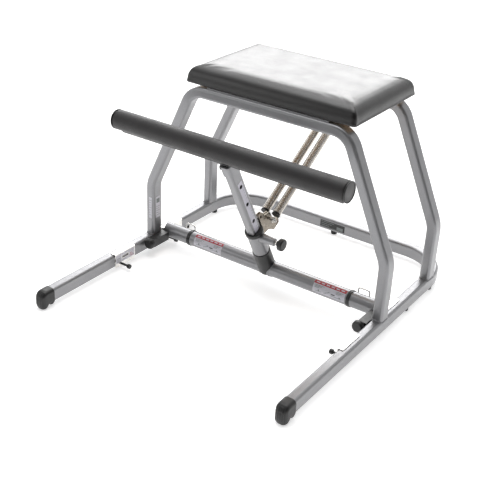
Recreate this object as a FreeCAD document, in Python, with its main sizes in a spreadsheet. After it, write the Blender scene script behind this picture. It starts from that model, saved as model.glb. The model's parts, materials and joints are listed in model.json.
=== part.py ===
"""Pedal chair for floor exercise: a tube frame, a padded seat and a sprung press bar.

Frame of the part: millimetres, +Z up, +X to the right, the press bar towards -Y,
origin on the floor under the middle of the whole object.
"""
import FreeCAD
import Part
import Sketcher
import math
import os

Vector = FreeCAD.Vector

doc = FreeCAD.newDocument("pedal_chair")
dims = doc.addObject("Spreadsheet::Sheet", "dims")

DRIVING_DIMENSIONS = {
    # floor frame
    "rail_x": 384, "rail_level": 31, "rail_front": -423, "rail_back": 443, "corner_radius": 130,
    "tube_wide": 30, "tube_tall": 40, "tube_round": 8, "tube_wall": 2,
    "foot_tall": 11, "foot_radius": 11, "foot_taper": 2, "foot_middle_y": 173, "foot_rear_y": 320,
    "cap_skin": 2, "cap_nose": 35, "cap_grip": 8, "cap_round": 18, "cap_chin": 9,
    "shoe_front": 7, "shoe_heel": 17, "shoe_end": 21, "shoe_round": 4,
    # arches and seat
    "front_arch_y": 16, "rear_arch_y": 296, "knee_level": 213, "arch_level": 530,
    "arch_top_x": 241, "knee_radius": 90, "arch_radius": 60,
    "strip_half": 187, "strip_wide": 26, "strip_thick": 4,
    "seat_half": 262, "seat_front": 1, "seat_rear": 336, "seat_thick": 51, "seat_round": 20,
    "seat_corner": 22, "board_inset": 12, "board_thick": 12, "board_clear": 2,
    "screw_radius": 3, "screw_x": 150,
    # axle line of the press arm
    "axle_y": 61, "axle_level": 45.75, "axle_radius": 22.25, "axle_wall": 3.25,
    "axle_half": 268, "journal_radius": 16, "journal_start": 200, "journal_end": 318,
    "journal_gap": 0.05, "stub_start": 278, "flange_start": 268.4, "flange_radius": 24,
    "bush_end": 322,
    # brackets that hold the axle on the rails
    "plate": 2.5, "bracket_long": 84, "bracket_front_y": -134, "bracket_rear_y": 86,
    "bracket_low": 9, "bracket_over": 15, "slot_long": 26, "slot_tall": 8, "slot_level": 36,
    "bolt_level": 15, "bolt_front_y": -149, "bolt_rear_y": 66, "bolt_radius": 3.5,
    "bolt_knob_radius": 7, "bolt_knob_long": 10, "bolt_knob_x": 344, "bolt_gap": 0.08,
    "block_wide": 24, "block_tall": 26, "block_low": 25, "block_front": -31, "block_rear": 38,
    "lock_x": 352, "lock_level": 41, "lock_radius": 16, "lock_long": 19, "lock_stem": 5,
    "lock_bore": 50, "lock_screw": 40, "touch_gap": 0.3,
    "clip_wire": 2, "clip_low": 44, "clip_top": 73, "clip_inner": 281, "clip_outer": 315, "clip_bend": 7,
    # press arm, measured along its own line from the axle
    "arm_lean": 28.5, "sleeve_radius": 23.5, "sleeve_low": -8, "sleeve_top": 160,
    "arm_wide": 25, "arm_deep": 38, "arm_round": 6, "arm_gap": 0.3,
    "arm_low": 134, "arm_top": 446, "head_low": 411, "boot_skin": 2, "boot_low": -12, "boot_top": 82,
    "collar_tall": 13, "collar_skin": 2.5,
    "pin_level": 146, "pin_pitch": 70, "pin_radius": 5, "pin_nose": 12.8, "pin_hole": 5.6,
    "pin_bore": 8, "pin_shoulder": 7.6, "housing_root": 13.5, "housing_tip": 11,
    "housing_end": 64, "housing_lip": 4, "spring_seat": 28,
    "knob_start": 78, "knob_end": 92, "knob_radius": 17,
    "knob_neck": 6.7, "knob_socket": 6, "knob_skin": 3, "spring_gap": 0.4,
    "rack_side": 2, "rack_plate": 3, "rack_n": 62.5, "rack_s": 150.5, "rack_pin": 4,
    "rack_pin_half": 25, "notch_radius": 4.6,
    # springs
    "spring_x": 18, "spring_lean": 56, "spring_span": 354, "coil_radius": 12, "coil_wire": 3,
    "coil_inset": 20, "loop_radius": 6.5, "loop_wire": 1.6, "plug_flange": 4, "plug_stem": 8.8,
    "plug_long": 5.5, "plug_hole": 2.2, "plug_gap": 0.15, "hook_depth": 8, "hanger_head": 12,
    # press bar
    "bar_s": 481, "bar_half": 354, "pad_radius": 28, "core_radius": 14, "end_cap": 4,
    "bar_plate_wide": 28, "bar_plate_half": 338, "bar_plate_thick": 5,
    "bar_bolt": 4, "bar_bolt_x": 32,
    "bolt_head": 3, "bolt_head_tall": 4, "saddle_half": 45, "saddle_thick": 3,
    "clamp_s": 420, "clamp_radius": 10, "clamp_stem": 4, "clamp_neck": 3, "clamp_long": 15,
}

for row, (alias, amount) in enumerate(DRIVING_DIMENSIONS.items(), start=1):
    dims.set("A%d" % row, alias)
    dims.set("B%d" % row, str(amount))
    dims.setAlias("B%d" % row, alias)
doc.recompute()

SEAT_LEVEL = "dims.arch_level + dims.tube_wide / 2 + dims.strip_thick"
RAIL_INNER = "dims.rail_x - dims.tube_wide / 2"
RAIL_TOP = "dims.rail_level + dims.tube_tall / 2"
BRACKET_INNER = "dims.rail_x - dims.tube_wide / 2 - dims.plate"
RACK_Y = "dims.axle_y + dims.rack_n * cos(dims.arm_lean) - dims.rack_s * sin(dims.arm_lean)"
RACK_LEVEL = "dims.axle_level + dims.rack_n * sin(dims.arm_lean) + dims.rack_s * cos(dims.arm_lean)"
HANGER_Y = RACK_Y + " + dims.spring_span * sin(dims.spring_lean)"
HANGER_LEVEL = RACK_LEVEL + " + dims.spring_span * cos(dims.spring_lean)"
PLATE_LOW = "dims.arm_top + dims.saddle_thick"

sub_parts = []


def number(expression):
    """Return the value of an expression in the sheet's dimensions."""
    return float(dims.evalExpression(str(expression)))


def bind(item, **settings):
    """Bind properties of an object to expressions; a double underscore stands for a dot."""
    for name, expression in settings.items():
        item.setExpression(name.replace("__", "."), str(expression))


def place(item, across="0", along="0", up="0", lean=None):
    """Give an object its place, leaned about the X axis where lean is an expression."""
    if lean is not None:
        item.Placement = FreeCAD.Placement(Vector(0, 0, 0), FreeCAD.Rotation(Vector(1, 0, 0), 10))
        bind(item, Placement__Rotation__Angle=lean)
    bind(item, Placement__Base__x=across, Placement__Base__y=along, Placement__Base__z=up)


def on_arm(item):
    """Put a piece, modelled with Z along the press arm, on the axle line."""
    place(item, along="dims.axle_y", up="dims.axle_level", lean="dims.arm_lean")


def on_spring(item, across):
    """Put a piece, modelled with Z along the spring, on the rack pin."""
    place(item, across=across, along=RACK_Y, up=RACK_LEVEL, lean="-dims.spring_lean")


def keep(item, label):
    """Name a finished sub-part; its label names its file."""
    item.Label = label
    sub_parts.append(item)
    return item


# ---- sketches and features ----

def new_body(name):
    """Start a body."""
    return doc.addObject("PartDesign::Body", name)


def sketch_on(body, role, offset="0"):
    """Start a sketch on one of the body's origin planes."""
    sketch = body.newObject("Sketcher::SketchObject", "outline")
    plane = [item for item in body.Origin.OriginFeatures if item.Role == role][0]
    sketch.AttachmentSupport = [(plane, "")]
    sketch.MapMode = "FlatFace"
    sketch.setExpression("AttachmentOffset.Base.z", str(offset))
    return sketch


def circle(sketch, radius, across="0", up="0"):
    """Add a circle, bound in size and place."""
    centre = Vector(number(across), number(up), 0)
    item = sketch.addGeometry(Part.Circle(centre, Vector(0, 0, 1), number(radius)), False)
    rule = sketch.addConstraint(Sketcher.Constraint("Radius", item, number(radius)))
    sketch.setExpression("Constraints[%d]" % rule, str(radius))
    fix_point(sketch, item, 3, across, up)


def fix_point(sketch, item, end, across, up):
    """Hold one point of a sketch at an expression's distance from the origin."""
    for kind, expression in (("DistanceX", across), ("DistanceY", up)):
        amount = number(expression)
        rule = sketch.addConstraint(Sketcher.Constraint(kind, -1, 1, item, end, amount))
        sketch.setExpression("Constraints[%d]" % rule, str(expression))


def chain(sketch, corners, closed=True):
    """Draw straight runs between corners, with an arc at each corner that has a radius.

    Each corner is (across, up) or (across, up, radius), all as expressions.
    """
    spots = [Vector(number(corner[0]), number(corner[1]), 0) for corner in corners]
    radii = [corner[2] if len(corner) > 2 else None for corner in corners]
    count = len(corners)
    enters = []
    leaves = []
    arcs = {}
    for index, spot in enumerate(spots):
        if radii[index] is None:
            enters.append(spot)
            leaves.append(spot)
            continue
        back = (spots[index - 1] - spot).normalize()
        onward = (spots[(index + 1) % count] - spot).normalize()
        half = back.getAngle(onward) / 2
        radius = number(radii[index])
        reach = radius / math.tan(half)
        middle = spot + (back + onward).normalize() * (radius / math.sin(half) - radius)
        enters.append(spot + back * reach)
        leaves.append(spot + onward * reach)
        arcs[index] = Part.Arc(enters[-1], middle, leaves[-1])
    lines = []
    runs = count if closed else count - 1
    for index in range(runs):
        run = Part.LineSegment(leaves[index], enters[(index + 1) % count])
        lines.append(sketch.addGeometry(run, False))
    for index in range(count):
        before = lines[index - 1] if closed or index > 0 else None
        after = lines[index] if index < len(lines) else None
        if index in arcs:
            join_arc(sketch, arcs[index], before, after, corners[index])
        elif before is None:
            fix_point(sketch, after, 1, *corners[index][:2])
        elif after is None:
            fix_point(sketch, before, 2, *corners[index][:2])
        else:
            sketch.addConstraint(Sketcher.Constraint("Coincident", before, 2, after, 1))
            fix_point(sketch, after, 1, *corners[index][:2])


def join_arc(sketch, arc, before, after, corner):
    """Round the corner of two runs with an arc, and hold the corner itself in place."""
    item = sketch.addGeometry(arc, False)
    start = sketch.getPoint(item, 1)
    ends = (1, 2) if start.distanceToPoint(sketch.getPoint(before, 2)) < 1e-4 else (2, 1)
    sketch.addConstraint(Sketcher.Constraint("Tangent", before, 2, item, ends[0]))
    sketch.addConstraint(Sketcher.Constraint("Tangent", item, ends[1], after, 1))
    rule = sketch.addConstraint(Sketcher.Constraint("Radius", item, number(corner[2])))
    sketch.setExpression("Constraints[%d]" % rule, str(corner[2]))
    spot = Vector(number(corner[0]), number(corner[1]), 0)
    mark = sketch.addGeometry(Part.Point(spot), True)
    sketch.addConstraint(Sketcher.Constraint("PointOnObject", mark, 1, before))
    sketch.addConstraint(Sketcher.Constraint("PointOnObject", mark, 1, after))
    fix_point(sketch, mark, 1, corner[0], corner[1])


def rounded_box(sketch, wide, tall, radius, across="0", up="0"):
    """Draw a rounded rectangle about a centre."""
    left = "(%s) - (%s) / 2" % (across, wide)
    right = "(%s) + (%s) / 2" % (across, wide)
    low = "(%s) - (%s) / 2" % (up, tall)
    high = "(%s) + (%s) / 2" % (up, tall)
    chain(sketch, [(left, low, radius), (right, low, radius),
                   (right, high, radius), (left, high, radius)])


def tube_section(sketch, wide, tall, radius, across="0", up="0"):
    """Draw the section of a rounded tube with its wall."""
    rounded_box(sketch, wide, tall, radius, across, up)
    rounded_box(sketch, "(%s) - 2 * dims.tube_wall" % wide, "(%s) - 2 * dims.tube_wall" % tall,
                "(%s) - dims.tube_wall" % radius, across, up)


def pad(body, sketch, length, middle=False):
    """Pad a sketch, both ways from its plane where middle is true."""
    feature = body.newObject("PartDesign::Pad", "pad")
    feature.Profile = sketch
    if middle:
        feature.Midplane = True
    bind(feature, Length=length)
    doc.recompute()
    return feature


def pocket(body, sketch, length, reverse=False):
    """Cut a sketch into the body both ways, and check that it removed something."""
    before = body.Shape.Volume
    feature = body.newObject("PartDesign::Pocket", "pocket")
    feature.Profile = sketch
    feature.Midplane = not reverse
    feature.Reversed = reverse
    bind(feature, Length=length)
    doc.recompute()
    if body.Shape.Volume >= before - 0.1:
        raise ValueError("a pocket cut nothing in " + body.Name)
    return feature


def turn(body, sketch, axis="V_Axis"):
    """Revolve a sketch a full turn."""
    feature = body.newObject("PartDesign::Revolution", "turn")
    feature.Profile = sketch
    feature.ReferenceAxis = (sketch, [axis])
    feature.Angle = 360
    doc.recompute()
    return feature


def turned(name, corners):
    """Return a body turned about Z from an outline of (radius, height) corners."""
    body = new_body(name)
    sketch = sketch_on(body, "XZ_Plane")
    chain(sketch, corners)
    turn(body, sketch)
    return body


def pipe(body, profile, path):
    """Sweep a section along a path."""
    feature = body.newObject("PartDesign::AdditivePipe", "pipe")
    feature.Profile = profile
    feature.Spine = (path, ["Edge%d" % (index + 1) for index in range(len(path.Shape.Edges))])
    doc.recompute()
    return feature


# ---- primitives ----

def cylinder(radius, length, across="0", along="0", up="0", facing="Z"):
    """Return a cylinder that starts at a point and runs along one axis."""
    item = doc.addObject("Part::Cylinder", "cylinder")
    turns = {"Z": FreeCAD.Rotation(), "X": FreeCAD.Rotation(Vector(0, 1, 0), 90),
             "Y": FreeCAD.Rotation(Vector(1, 0, 0), -90)}
    item.Placement = FreeCAD.Placement(Vector(0, 0, 0), turns[facing])
    bind(item, Radius=radius, Height=length)
    bind(item, Placement__Base__x=across, Placement__Base__y=along, Placement__Base__z=up)
    return item


def box(wide, deep, tall, across, along, up):
    """Return a box with its lowest corner at a point."""
    item = doc.addObject("Part::Box", "block")
    bind(item, Length=wide, Width=deep, Height=tall)
    bind(item, Placement__Base__x=across, Placement__Base__y=along, Placement__Base__z=up)
    return item


def cut(base, *tools):
    """Cut tools from a solid, one after another."""
    result = base
    for tool in tools:
        item = doc.addObject("Part::Cut", "cut")
        item.Base = result
        item.Tool = tool
        result = item
    doc.recompute()
    return result


def fuse(*items):
    """Join solids into one."""
    joined = doc.addObject("Part::MultiFuse", "joined")
    joined.Shapes = list(items)
    doc.recompute()
    return joined


def group(*items):
    """Hold separate solids together in one sub-part."""
    together = doc.addObject("Part::Compound", "set")
    together.Links = list(items)
    doc.recompute()
    return together


def side_name(side):
    """Return the name of a side, -1 for left and 1 for right."""
    return "left" if side < 0 else "right"


def low_end(side, near, length):
    """Return where a length starts along X when its inner end is near, on the given side."""
    return near if side > 0 else "-(%s) - (%s)" % (near, length)


# ---- floor frame ----

def make_base_frame():
    """U-shaped floor tube: two rails and the rear tube, bent from one length."""
    body = new_body("base_frame")
    path = sketch_on(body, "XY_Plane", "dims.rail_level")
    chain(path, [("-dims.rail_x", "dims.rail_front"),
                 ("-dims.rail_x", "dims.rail_back", "dims.corner_radius"),
                 ("dims.rail_x", "dims.rail_back", "dims.corner_radius"),
                 ("dims.rail_x", "dims.rail_front")], closed=False)
    section = sketch_on(body, "XZ_Plane", "-dims.rail_front")
    tube_section(section, "dims.tube_wide", "dims.tube_tall", "dims.tube_round",
                 "-dims.rail_x", "dims.rail_level")
    doc.recompute()
    pipe(body, section, path)
    keep(body, "base_frame")


def make_end_cap(side):
    """Moulded cap over the front end of a rail, with a shoe that reaches the floor."""
    body = new_body("end_cap")
    nose = sketch_on(body, "YZ_Plane")
    front = "dims.rail_front - dims.cap_nose"
    low = "dims.rail_level - dims.tube_tall / 2 - dims.cap_skin"
    high = "dims.rail_level + dims.tube_tall / 2 + dims.cap_skin"
    back = "dims.rail_front + dims.cap_grip"
    chain(nose, [(front, low, "dims.cap_chin"),
                 (front + " + dims.shoe_front", "0", "dims.shoe_round"),
                 (front + " + dims.shoe_heel", "0", "dims.shoe_round"),
                 (front + " + dims.shoe_end", low, "dims.shoe_round"), (back, low), (back, high),
                 (front, high, "dims.cap_round")])
    pad(body, nose, "dims.tube_wide + 2 * dims.cap_skin", middle=True)
    sleeve = sketch_on(body, "XZ_Plane", "-dims.rail_front - dims.cap_grip")
    rounded_box(sleeve, "dims.tube_wide", "dims.tube_tall", "dims.tube_round",
                "0", "dims.rail_level")
    pocket(body, sleeve, "dims.cap_grip", reverse=True)
    place(body, across="%d * dims.rail_x" % side)
    keep(body, "end_cap_" + side_name(side))


def make_floor_feet():
    """Rubber feet under the rails and the rear tube."""
    spots = [("-dims.rail_x", "dims.foot_middle_y"), ("dims.rail_x", "dims.foot_middle_y"),
             ("-dims.rail_x", "dims.foot_rear_y"), ("dims.rail_x", "dims.foot_rear_y"),
             ("0", "dims.rail_back")]
    feet = []
    for across, along in spots:
        foot = doc.addObject("Part::Cone", "foot")
        bind(foot, Radius1="dims.foot_radius - dims.foot_taper", Radius2="dims.foot_radius",
             Height="dims.foot_tall", Placement__Base__x=across, Placement__Base__y=along)
        feet.append(foot)
    keep(group(*feet), "floor_feet")


# ---- arches and seat ----

def make_arch(label, along):
    """Arch of tube: two feet on the rails, leaning legs and a level top."""
    body = new_body(label)
    path = sketch_on(body, "XZ_Plane")
    chain(path, [("-dims.rail_x", RAIL_TOP), ("-dims.rail_x", "dims.knee_level", "dims.knee_radius"),
                 ("-dims.arch_top_x", "dims.arch_level", "dims.arch_radius"),
                 ("dims.arch_top_x", "dims.arch_level", "dims.arch_radius"),
                 ("dims.rail_x", "dims.knee_level", "dims.knee_radius"),
                 ("dims.rail_x", RAIL_TOP)], closed=False)
    section = sketch_on(body, "XY_Plane", RAIL_TOP)
    tube_section(section, "dims.tube_wide", "dims.tube_tall", "dims.tube_round", "-dims.rail_x")
    doc.recompute()
    pipe(body, section, path)
    place(body, along=along)
    keep(body, label)


def make_seat_strip(label, along):
    """Flat bar between an arch and the seat."""
    strip = box("2 * dims.strip_half", "dims.strip_wide", "dims.strip_thick", "-dims.strip_half",
                along + " - dims.strip_wide / 2", SEAT_LEVEL + " - dims.strip_thick")
    holes = [cylinder("dims.screw_radius", "3 * dims.strip_thick",
                      "%d * dims.screw_x" % side, along, SEAT_LEVEL + " - 2 * dims.strip_thick")
             for side in (-1, 1)]
    keep(cut(strip, *holes), label)


def make_seat_board():
    """Plywood board inside the seat, with pilot holes for its screws."""
    board = box("2 * (dims.seat_half - dims.board_inset)",
                "dims.seat_rear - dims.seat_front - 2 * dims.board_inset", "dims.board_thick",
                "-dims.seat_half + dims.board_inset", "dims.seat_front + dims.board_inset", SEAT_LEVEL)
    holes = [cylinder("dims.screw_radius", "dims.board_thick",
                      "%d * dims.screw_x" % side, along, SEAT_LEVEL + " - dims.board_clear")
             for side in (-1, 1) for along in ("dims.front_arch_y", "dims.rear_arch_y")]
    keep(cut(board, *holes), "seat_board")


def make_seat_pad():
    """Upholstered seat, soft edges above, hollow below where the board sits."""
    body = new_body("seat_pad")
    plan = sketch_on(body, "XY_Plane", SEAT_LEVEL)
    rounded_box(plan, "2 * dims.seat_half", "dims.seat_rear - dims.seat_front", "dims.seat_corner",
                "0", "(dims.seat_rear + dims.seat_front) / 2")
    base = pad(body, plan, "dims.seat_thick")
    top = number(SEAT_LEVEL) + number("dims.seat_thick")
    rim = ["Edge%d" % (index + 1) for index, edge in enumerate(base.Shape.Edges)
           if min(vertex.Z for vertex in edge.Vertexes) > top - 0.1]
    soften = body.newObject("PartDesign::Fillet", "soften")
    soften.Base = (base, rim)
    bind(soften, Radius="dims.seat_round")
    doc.recompute()
    hollow = sketch_on(body, "XY_Plane", SEAT_LEVEL)
    rounded_box(hollow, "2 * (dims.seat_half - dims.board_inset)",
                "dims.seat_rear - dims.seat_front - 2 * dims.board_inset", "0.5",
                "0", "(dims.seat_rear + dims.seat_front) / 2")
    pocket(body, hollow, "dims.board_thick", reverse=True)
    keep(body, "seat_pad")


def make_seat_screws():
    """Four screws up through the strips into the board."""
    screws = []
    for side in (-1, 1):
        for along in ("dims.front_arch_y", "dims.rear_arch_y"):
            screws.append(cylinder("dims.screw_radius",
                                   "dims.strip_thick + dims.board_thick - dims.board_clear",
                                   "%d * dims.screw_x" % side, along,
                                   SEAT_LEVEL + " - dims.strip_thick"))
    keep(group(*screws), "seat_screws")


# ---- axle line on the rails ----

def make_stub(side):
    """Fixed tube end between a bracket and the turning axle tube."""
    length = BRACKET_INNER + " - dims.stub_start"
    start = low_end(side, "dims.stub_start", length)
    outer = cylinder("dims.axle_radius", length, start, "dims.axle_y", "dims.axle_level", "X")
    inner = cylinder("dims.axle_radius - dims.axle_wall", length, start, "dims.axle_y",
                     "dims.axle_level", "X")
    keep(cut(outer, inner), "axle_stub_" + side_name(side))


def make_bush(side):
    """Black plastic bush: a flange ring that shows and a sleeve inside the stub."""
    body = turned("bush", [("dims.journal_radius + dims.journal_gap", "dims.flange_start"),
                           ("dims.flange_radius", "dims.flange_start"),
                           ("dims.flange_radius", "dims.stub_start"),
                           ("dims.axle_radius - dims.axle_wall", "dims.stub_start"),
                           ("dims.axle_radius - dims.axle_wall", "dims.bush_end"),
                           ("dims.journal_radius + dims.journal_gap", "dims.bush_end")])
    lay_along_x(body, side)
    keep(body, "axle_bush_" + side_name(side))


def lay_along_x(body, side, along="dims.axle_y", up="dims.axle_level"):
    """Turn a body from Z to the given side of X and put it at a height."""
    body.Placement = FreeCAD.Placement(Vector(0, 0, 0), FreeCAD.Rotation(Vector(0, 1, 0), 90 * side))
    bind(body, Placement__Base__y=along, Placement__Base__z=up)


def make_bracket(label, side, along, bolt_y):
    """Plated saddle folded over a rail, with a slot and a bolt hole in its inner side."""
    start = "%s - dims.bracket_long / 2" % along
    over = "dims.plate + dims.bracket_over"
    wall = box("dims.plate", "dims.bracket_long", RAIL_TOP + " - dims.bracket_low",
               low_end(side, BRACKET_INNER, "dims.plate"), start, "dims.bracket_low")
    top = box(over, "dims.bracket_long", "dims.plate", low_end(side, BRACKET_INNER, over), start, RAIL_TOP)
    slot = box("dims.plate", "dims.slot_long", "dims.slot_tall", low_end(side, BRACKET_INNER, "dims.plate"),
               "%s - dims.slot_long / 2" % along, "dims.slot_level - dims.slot_tall / 2")
    hole = cylinder("dims.bolt_radius + dims.bolt_gap", "dims.plate",
                    low_end(side, BRACKET_INNER, "dims.plate"), bolt_y, "dims.bolt_level", "X")
    keep(cut(fuse(wall, top), slot, hole), label + side_name(side))


def make_bracket_bolt(label, side, along):
    """Small bolt with a round knob that clamps a bracket under the rail's edge."""
    body = turned("bracket_bolt", [("0", "dims.bolt_knob_x - dims.bolt_knob_long"),
                                   ("dims.bolt_knob_radius", "dims.bolt_knob_x - dims.bolt_knob_long", "2"),
                                   ("dims.bolt_knob_radius", "dims.bolt_knob_x", "2"),
                                   ("dims.bolt_radius", "dims.bolt_knob_x"),
                                   ("dims.bolt_radius", RAIL_INNER + " - dims.touch_gap"),
                                   ("0", RAIL_INNER + " - dims.touch_gap")])
    lay_along_x(body, side, along, "dims.bolt_level")
    keep(body, label + side_name(side))


def make_lock_block(side):
    """Black clamp block on the inner side of a rail, bored for the lock screw."""
    start = low_end(side, RAIL_INNER + " - dims.block_wide", "dims.block_wide")
    block = box("dims.block_wide", "dims.block_rear - dims.block_front", "dims.block_tall",
                start, "dims.block_front", "dims.block_low")
    bore = cylinder("dims.lock_stem + dims.bolt_gap", "dims.lock_bore", "%d * dims.lock_x" % side,
                    "dims.block_front - 1", "dims.lock_level", "Y")
    keep(cut(block, bore), "lock_block_" + side_name(side))


def make_lock_knob(side):
    """Round knob and stem of the lock screw, turning about Y."""
    body = turned("lock_knob", [("0", "-dims.lock_long"),
                                ("dims.lock_radius - 3", "-dims.lock_long", "1.5"),
                                ("dims.lock_radius", "-dims.lock_long + 5", "3"),
                                ("dims.lock_radius", "-3", "3"),
                                ("dims.lock_stem", "-0.5"), ("dims.lock_stem", "dims.lock_screw"),
                                ("0", "dims.lock_screw")])
    body.Placement = FreeCAD.Placement(Vector(0, 0, 0), FreeCAD.Rotation(Vector(1, 0, 0), -90))
    bind(body, Placement__Base__x="%d * dims.lock_x" % side, Placement__Base__z="dims.lock_level",
         Placement__Base__y="dims.block_front - dims.touch_gap")
    keep(body, "lock_knob_" + side_name(side))


def make_wire_clip(side):
    """Wire staple standing behind a stub, its legs against the tube."""
    body = new_body("wire_clip")
    path = sketch_on(body, "XZ_Plane")
    chain(path, [("dims.clip_inner", "dims.clip_low"),
                 ("dims.clip_inner", "dims.clip_top", "dims.clip_bend"),
                 ("dims.clip_outer", "dims.clip_top", "dims.clip_bend"),
                 ("dims.clip_outer", "dims.clip_low")], closed=False)
    section = sketch_on(body, "XY_Plane", "dims.clip_low")
    circle(section, "dims.clip_wire", "dims.clip_inner")
    doc.recompute()
    pipe(body, section, path)
    middle = "dims.clip_inner + dims.clip_outer"
    place(body, across="0" if side > 0 else "-(" + middle + ")",
          along="dims.axle_y + dims.axle_radius + dims.clip_wire")
    keep(body, "wire_clip_" + side_name(side))


# ---- press arm ----

def make_axle_tube(side):
    """Half of the turning axle tube, from the sleeve to the bush, on its journal."""
    start = low_end(side, "0", "dims.axle_half")
    outer = cylinder("dims.axle_radius", "dims.axle_half", start, "dims.axle_y", "dims.axle_level", "X")
    inner = cylinder("dims.journal_radius", "dims.axle_half + 2", start + " - 1", "dims.axle_y",
                     "dims.axle_level", "X")
    gap = cylinder("dims.sleeve_radius", "200", "0", "0", "-100")
    on_arm(gap)
    bind(gap, Placement__Base__y="dims.axle_y + 100 * sin(dims.arm_lean)",
         Placement__Base__z="dims.axle_level - 100 * cos(dims.arm_lean)")
    keep(cut(outer, inner, gap), "axle_tube_" + side_name(side))


def make_journal(side):
    """Steel journal pressed in the end of the axle tube and running in the bush."""
    length = "dims.journal_end - dims.journal_start"
    journal = cylinder("dims.journal_radius", length, low_end(side, "dims.journal_start", length),
                       "dims.axle_y", "dims.axle_level", "X")
    keep(journal, "axle_journal_" + side_name(side))


def arm_bore(body, low, length):
    """Cut the rectangular way for the inner arm tube."""
    bore = sketch_on(body, "XY_Plane", low)
    rounded_box(bore, "dims.arm_wide + 2 * dims.arm_gap", "dims.arm_deep + 2 * dims.arm_gap",
                "dims.arm_round")
    pocket(body, bore, length, reverse=True)


def make_sleeve():
    """Round outer sleeve of the arm, bored through, with the pin's hole in its side."""
    body = new_body("arm_sleeve")
    outer = sketch_on(body, "XY_Plane", "dims.sleeve_low")
    circle(outer, "dims.sleeve_radius")
    pad(body, outer, "dims.sleeve_top - dims.sleeve_low")
    arm_bore(body, "dims.sleeve_low", "dims.sleeve_top - dims.sleeve_low")
    hole = sketch_on(body, "YZ_Plane", "0")
    circle(hole, "dims.pin_bore", "0", "dims.pin_level")
    pocket(body, hole, "2 * dims.sleeve_radius", reverse=True)
    on_arm(body)
    keep(body, "arm_sleeve")


def make_boot():
    """Black cup over the foot of the sleeve, notched where the axle tube passes."""
    body = turned("arm_boot", [("0", "dims.boot_low"),
                               ("dims.sleeve_radius + dims.boot_skin", "dims.boot_low", "9"),
                               ("dims.sleeve_radius + dims.boot_skin", "dims.boot_top", "1.5"),
                               ("dims.sleeve_radius", "dims.boot_top"),
                               ("dims.sleeve_radius", "dims.sleeve_low"), ("0", "dims.sleeve_low")])
    notch = sketch_on(body, "YZ_Plane")
    circle(notch, "dims.axle_radius")
    pocket(body, notch, "4 * dims.sleeve_radius")
    on_arm(body)
    keep(body, "arm_boot")


def make_collar():
    """Black guide collar on top of the sleeve."""
    body = turned("arm_collar", [("0", "dims.sleeve_top"),
                                 ("dims.sleeve_radius + dims.collar_skin", "dims.sleeve_top", "1.5"),
                                 ("dims.sleeve_radius + dims.collar_skin",
                                  "dims.sleeve_top + dims.collar_tall", "3"),
                                 ("0", "dims.sleeve_top + dims.collar_tall")])
    arm_bore(body, "dims.sleeve_top", "dims.collar_tall")
    on_arm(body)
    keep(body, "arm_collar")


def make_pin_housing():
    """Tapered boss on the sleeve that carries the index pin and its spring."""
    body = turned("pin_boss", [("dims.pin_bore", "dims.arm_wide / 2 + dims.housing_lip"),
                               ("dims.housing_root", "dims.arm_wide / 2 + dims.housing_lip"),
                               ("dims.housing_tip", "dims.housing_end - 2 * dims.housing_lip"),
                               ("dims.housing_tip", "dims.housing_end", "dims.housing_lip / 2"),
                               ("dims.pin_radius + dims.journal_gap", "dims.housing_end"),
                               ("dims.pin_radius + dims.journal_gap",
                                "dims.housing_end - dims.housing_lip"),
                               ("dims.pin_bore", "dims.housing_end - dims.housing_lip")])
    body.Placement = FreeCAD.Placement(Vector(0, 0, 0), FreeCAD.Rotation(Vector(0, 1, 0), 90))
    bind(body, Placement__Base__z="dims.pin_level")
    around = cylinder("dims.sleeve_radius", "dims.sleeve_top", "0", "0", "0")
    boss = cut(body, around)
    on_arm(boss)
    keep(boss, "pin_housing")


def on_pin_line(body):
    """Put a turned piece on the index pin's line, which crosses the arm."""
    body.Placement = FreeCAD.Placement(Vector(0, 0, 0), FreeCAD.Rotation(Vector(0, 1, 0), 90))
    bind(body, Placement__Base__y="dims.axle_y - dims.pin_level * sin(dims.arm_lean)",
         Placement__Base__z="dims.axle_level + dims.pin_level * cos(dims.arm_lean)")


def make_index_pin():
    """Index pin with the shoulder that its spring pushes on."""
    body = turned("index_pin", [("0", "dims.pin_nose"), ("dims.pin_radius", "dims.pin_nose", "1"),
                                ("dims.pin_radius", "dims.spring_seat - 6"),
                                ("dims.pin_shoulder", "dims.spring_seat - 6"),
                                ("dims.pin_shoulder", "dims.spring_seat - 3"),
                                ("dims.pin_radius", "dims.spring_seat - 3"),
                                ("dims.pin_radius", "dims.knob_start + dims.knob_socket"),
                                ("0", "dims.knob_start + dims.knob_socket")])
    on_pin_line(body)
    keep(body, "index_pin")


def make_index_spring():
    """Return spring of the index pin, as a sleeve inside the housing."""
    inner = "dims.pin_radius + dims.spring_gap"
    outer = "dims.pin_bore - dims.spring_gap"
    start = "dims.spring_seat - 3 + dims.touch_gap"
    end = "dims.housing_end - dims.housing_lip - dims.touch_gap"
    body = turned("index_spring", [(inner, start), (outer, start), (outer, end), (inner, end)])
    on_pin_line(body)
    keep(body, "index_spring")


def make_index_knob():
    """Round pull knob on the outer end of the index pin."""
    neck = "dims.knob_start - dims.knob_neck"
    floor = "dims.knob_start + dims.knob_socket"
    body = turned("index_knob", [("dims.pin_radius", neck), ("dims.pin_radius + dims.knob_skin", neck),
                                 ("dims.pin_radius + dims.knob_skin", "dims.knob_start"),
                                 ("dims.knob_radius", "dims.knob_start", "2"),
                                 ("dims.knob_radius", "dims.knob_end", "4"),
                                 ("0", "dims.knob_end"), ("0", floor), ("dims.pin_radius", floor)])
    on_pin_line(body)
    keep(body, "index_knob")


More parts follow.
